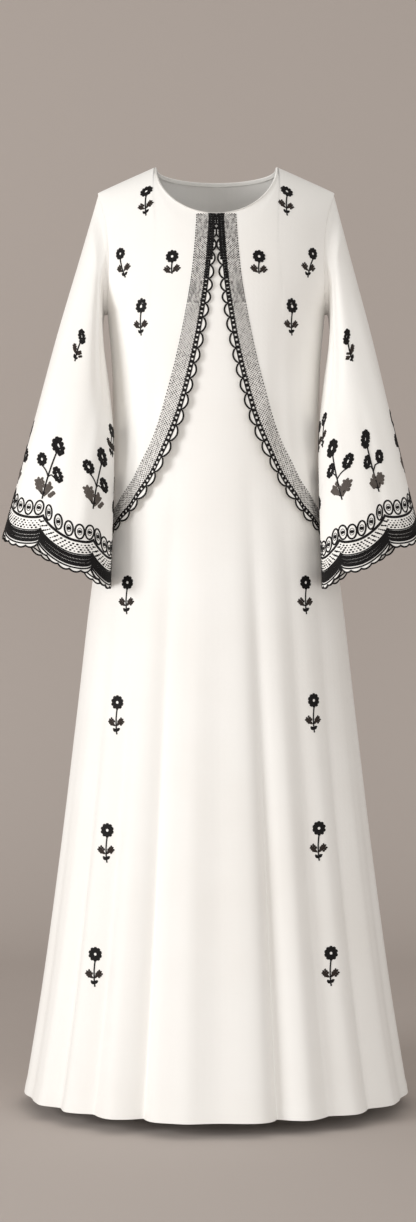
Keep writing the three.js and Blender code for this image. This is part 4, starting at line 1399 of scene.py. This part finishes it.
# A tall sprig: its top flower, then side, size and place of the two others, then side and height of leaves
STEM = {"tall": 84.0, "lean": 7.0, "flower": 25.0}
SIDE_FLOWERS = [(-1, 19.0, (-15, 54)), (1, 20.0, (17, 47))]
CUFF_LEAVES = [(-1, 28), (1, 24)]


def tall_cuff_sprigs(hand):
    """Over each scallop: a stem with three flowers and two grey leaves, above the row of ovals."""
    black, grey = ThreadWork(), ThreadWork()
    feet = [find_on_sleeve(hand, seen) for seen in TALL_FEET[hand]]
    share, turn = feet[1]
    feet += [(share, turn + 360 / CUFF_SCALLOPS * (i + 1)) for i in range(CUFF_SCALLOPS - 2)]
    for i, (share, turn) in enumerate(feet):
        ground = sleeve_ground(hand, share, turn)
        side_lean = (STEM["lean"] if hand == "left" else -STEM["lean"]) if i < 2 else 0.0
        top = (side_lean, STEM["tall"])
        stem = curved((0, 0), (top[0], top[1] - 9), 0.02)
        stroke(black, ground, stem, 2.4, 0.7)
        flower(black, ground, top, STEM["flower"])
        for side, size, at in SIDE_FLOWERS:
            flower(black, ground, at, size)
            branch = curved(stem[4], (at[0] - side * 3, at[1] - size * 0.42), 0.12 * side)
            stroke(black, ground, branch, 2.0, 0.7)
        for side, at in CUFF_LEAVES:
            lobed_leaf(grey, ground, (side * 1.5, at - 20), 90 - side * 30, 24.0)
        leaf(black, ground, (0, 6), 140, 8.0, 2.6)
        leaf(black, ground, (0, 6), 40, 8.0, 2.6)
    black.make(f"cuff_sprigs_{hand}", black_thread, "black_thread")
    grey.make(f"cuff_sprig_leaves_{hand}", grey_thread, "black_thread")


for hand in ("left", "right"):
    cuff_edging(hand)
    cuff_lines(hand)
    cuff_stitches(hand)
    tall_cuff_sprigs(hand)


# The bar: the neck's height in the front view, its share nearer the middle, and sizes in millimetres
BAR = {"seen": 220, "near": 0.97, "below": 18, "half": 6.5, "width": 2.2, "points": 9}


def thread_bar():
    """The short black bar that joins the two braids under the neck."""
    height = -(BAR["seen"] - VIEW["shoulder"]) * VIEW["scale"] * BAR["near"]
    x = np.linspace(-BAR["half"], BAR["half"], BAR["points"])
    y = float(beside_edge("right", 0.0, -BRAID_WIDTH, 1.6)[1])
    points = np.stack([x, np.full_like(x, y - 0.8), np.full_like(x, height - BAR["below"])], axis=-1)
    work = ThreadWork()
    work.strip(points, np.tile([0, -1.0, 0], (BAR["points"], 1)), BAR["width"], 0.9)
    work.make("front_thread_bar", black_thread, "black_thread")


thread_bar()


# Camera, floor, backdrop and light
CAMERA_Y = -3.3
CAMERA_X = -0.012
CAMERA_Z = -0.653
LENS = 65.7
FLOOR_Z = HEM * MM - 0.02
STAGE_COLOUR = (0.50, 0.445, 0.41)
EXPOSURE = 0.14
# The sweep's front and back edges, half width, height and bend, in metres
SWEEP = {"near": -6.0, "far": 2.2, "wide": 6.0, "tall": 6.0, "bend": 0.9}
# Soft lights: name, place, width and power
LIGHTS = [
    ("key", (-3.0, -2.0, -0.1), 1.5, 66),
    ("fill", (2.9, -2.9, -0.5), 2.6, 20),
    ("front", (0.3, -4.6, -0.3), 2.4, 30),
]
LIGHT_AIM = (0, 0, -0.65)


def stage_material():
    made, _, _, bsdf = material("studio_paper")
    bsdf.inputs["Base Color"].default_value = (*STAGE_COLOUR, 1)
    bsdf.inputs["Roughness"].default_value = 0.9
    return made


def studio():
    """A plain floor that curves up into a backdrop, three soft lights and the camera."""
    near, far, wide, tall, bend = SWEEP.values()
    profile = [(near, FLOOR_Z)]
    for i in range(13):
        angle = math.radians(90 * i / 12)
        profile.append((far - bend + bend * math.sin(angle), FLOOR_Z + bend - bend * math.cos(angle)))
    profile.append((far, FLOOR_Z + tall))
    points = [(x, y, z) for y, z in profile for x in (-wide, wide)]
    faces = [(2 * i, 2 * i + 1, 2 * i + 3, 2 * i + 2) for i in range(len(profile) - 1)]
    sweep = new_object("studio_sweep", np.array(points) / MM, faces)
    sweep.data.materials.append(stage_material())
    for name, place, size, power in LIGHTS:
        data = bpy.data.lights.new(name, "AREA")
        data.size = size
        data.energy = power
        light = bpy.data.objects.new(name, data)
        light.location = place
        aim = Vector(LIGHT_AIM) - Vector(place)
        light.rotation_euler = aim.to_track_quat("-Z", "Y").to_euler()
        bpy.context.scene.collection.objects.link(light)
    world = bpy.data.worlds.new("studio_air")
    world.use_nodes = True
    world.node_tree.nodes["Background"].inputs["Color"].default_value = (1, 0.97, 0.93, 1)
    world.node_tree.nodes["Background"].inputs["Strength"].default_value = 0.5
    bpy.context.scene.world = world
    data = bpy.data.cameras.new("camera")
    data.lens = LENS
    data.sensor_width = 36
    camera = bpy.data.objects.new("camera", data)
    camera.location = (CAMERA_X, CAMERA_Y, CAMERA_Z)
    camera.rotation_euler = (math.radians(90), 0, 0)
    bpy.context.scene.collection.objects.link(camera)
    bpy.context.scene.camera = camera


studio()
view = bpy.context.scene.view_settings
view.view_transform = "Standard"
view.look = "None"
view.exposure = EXPOSURE
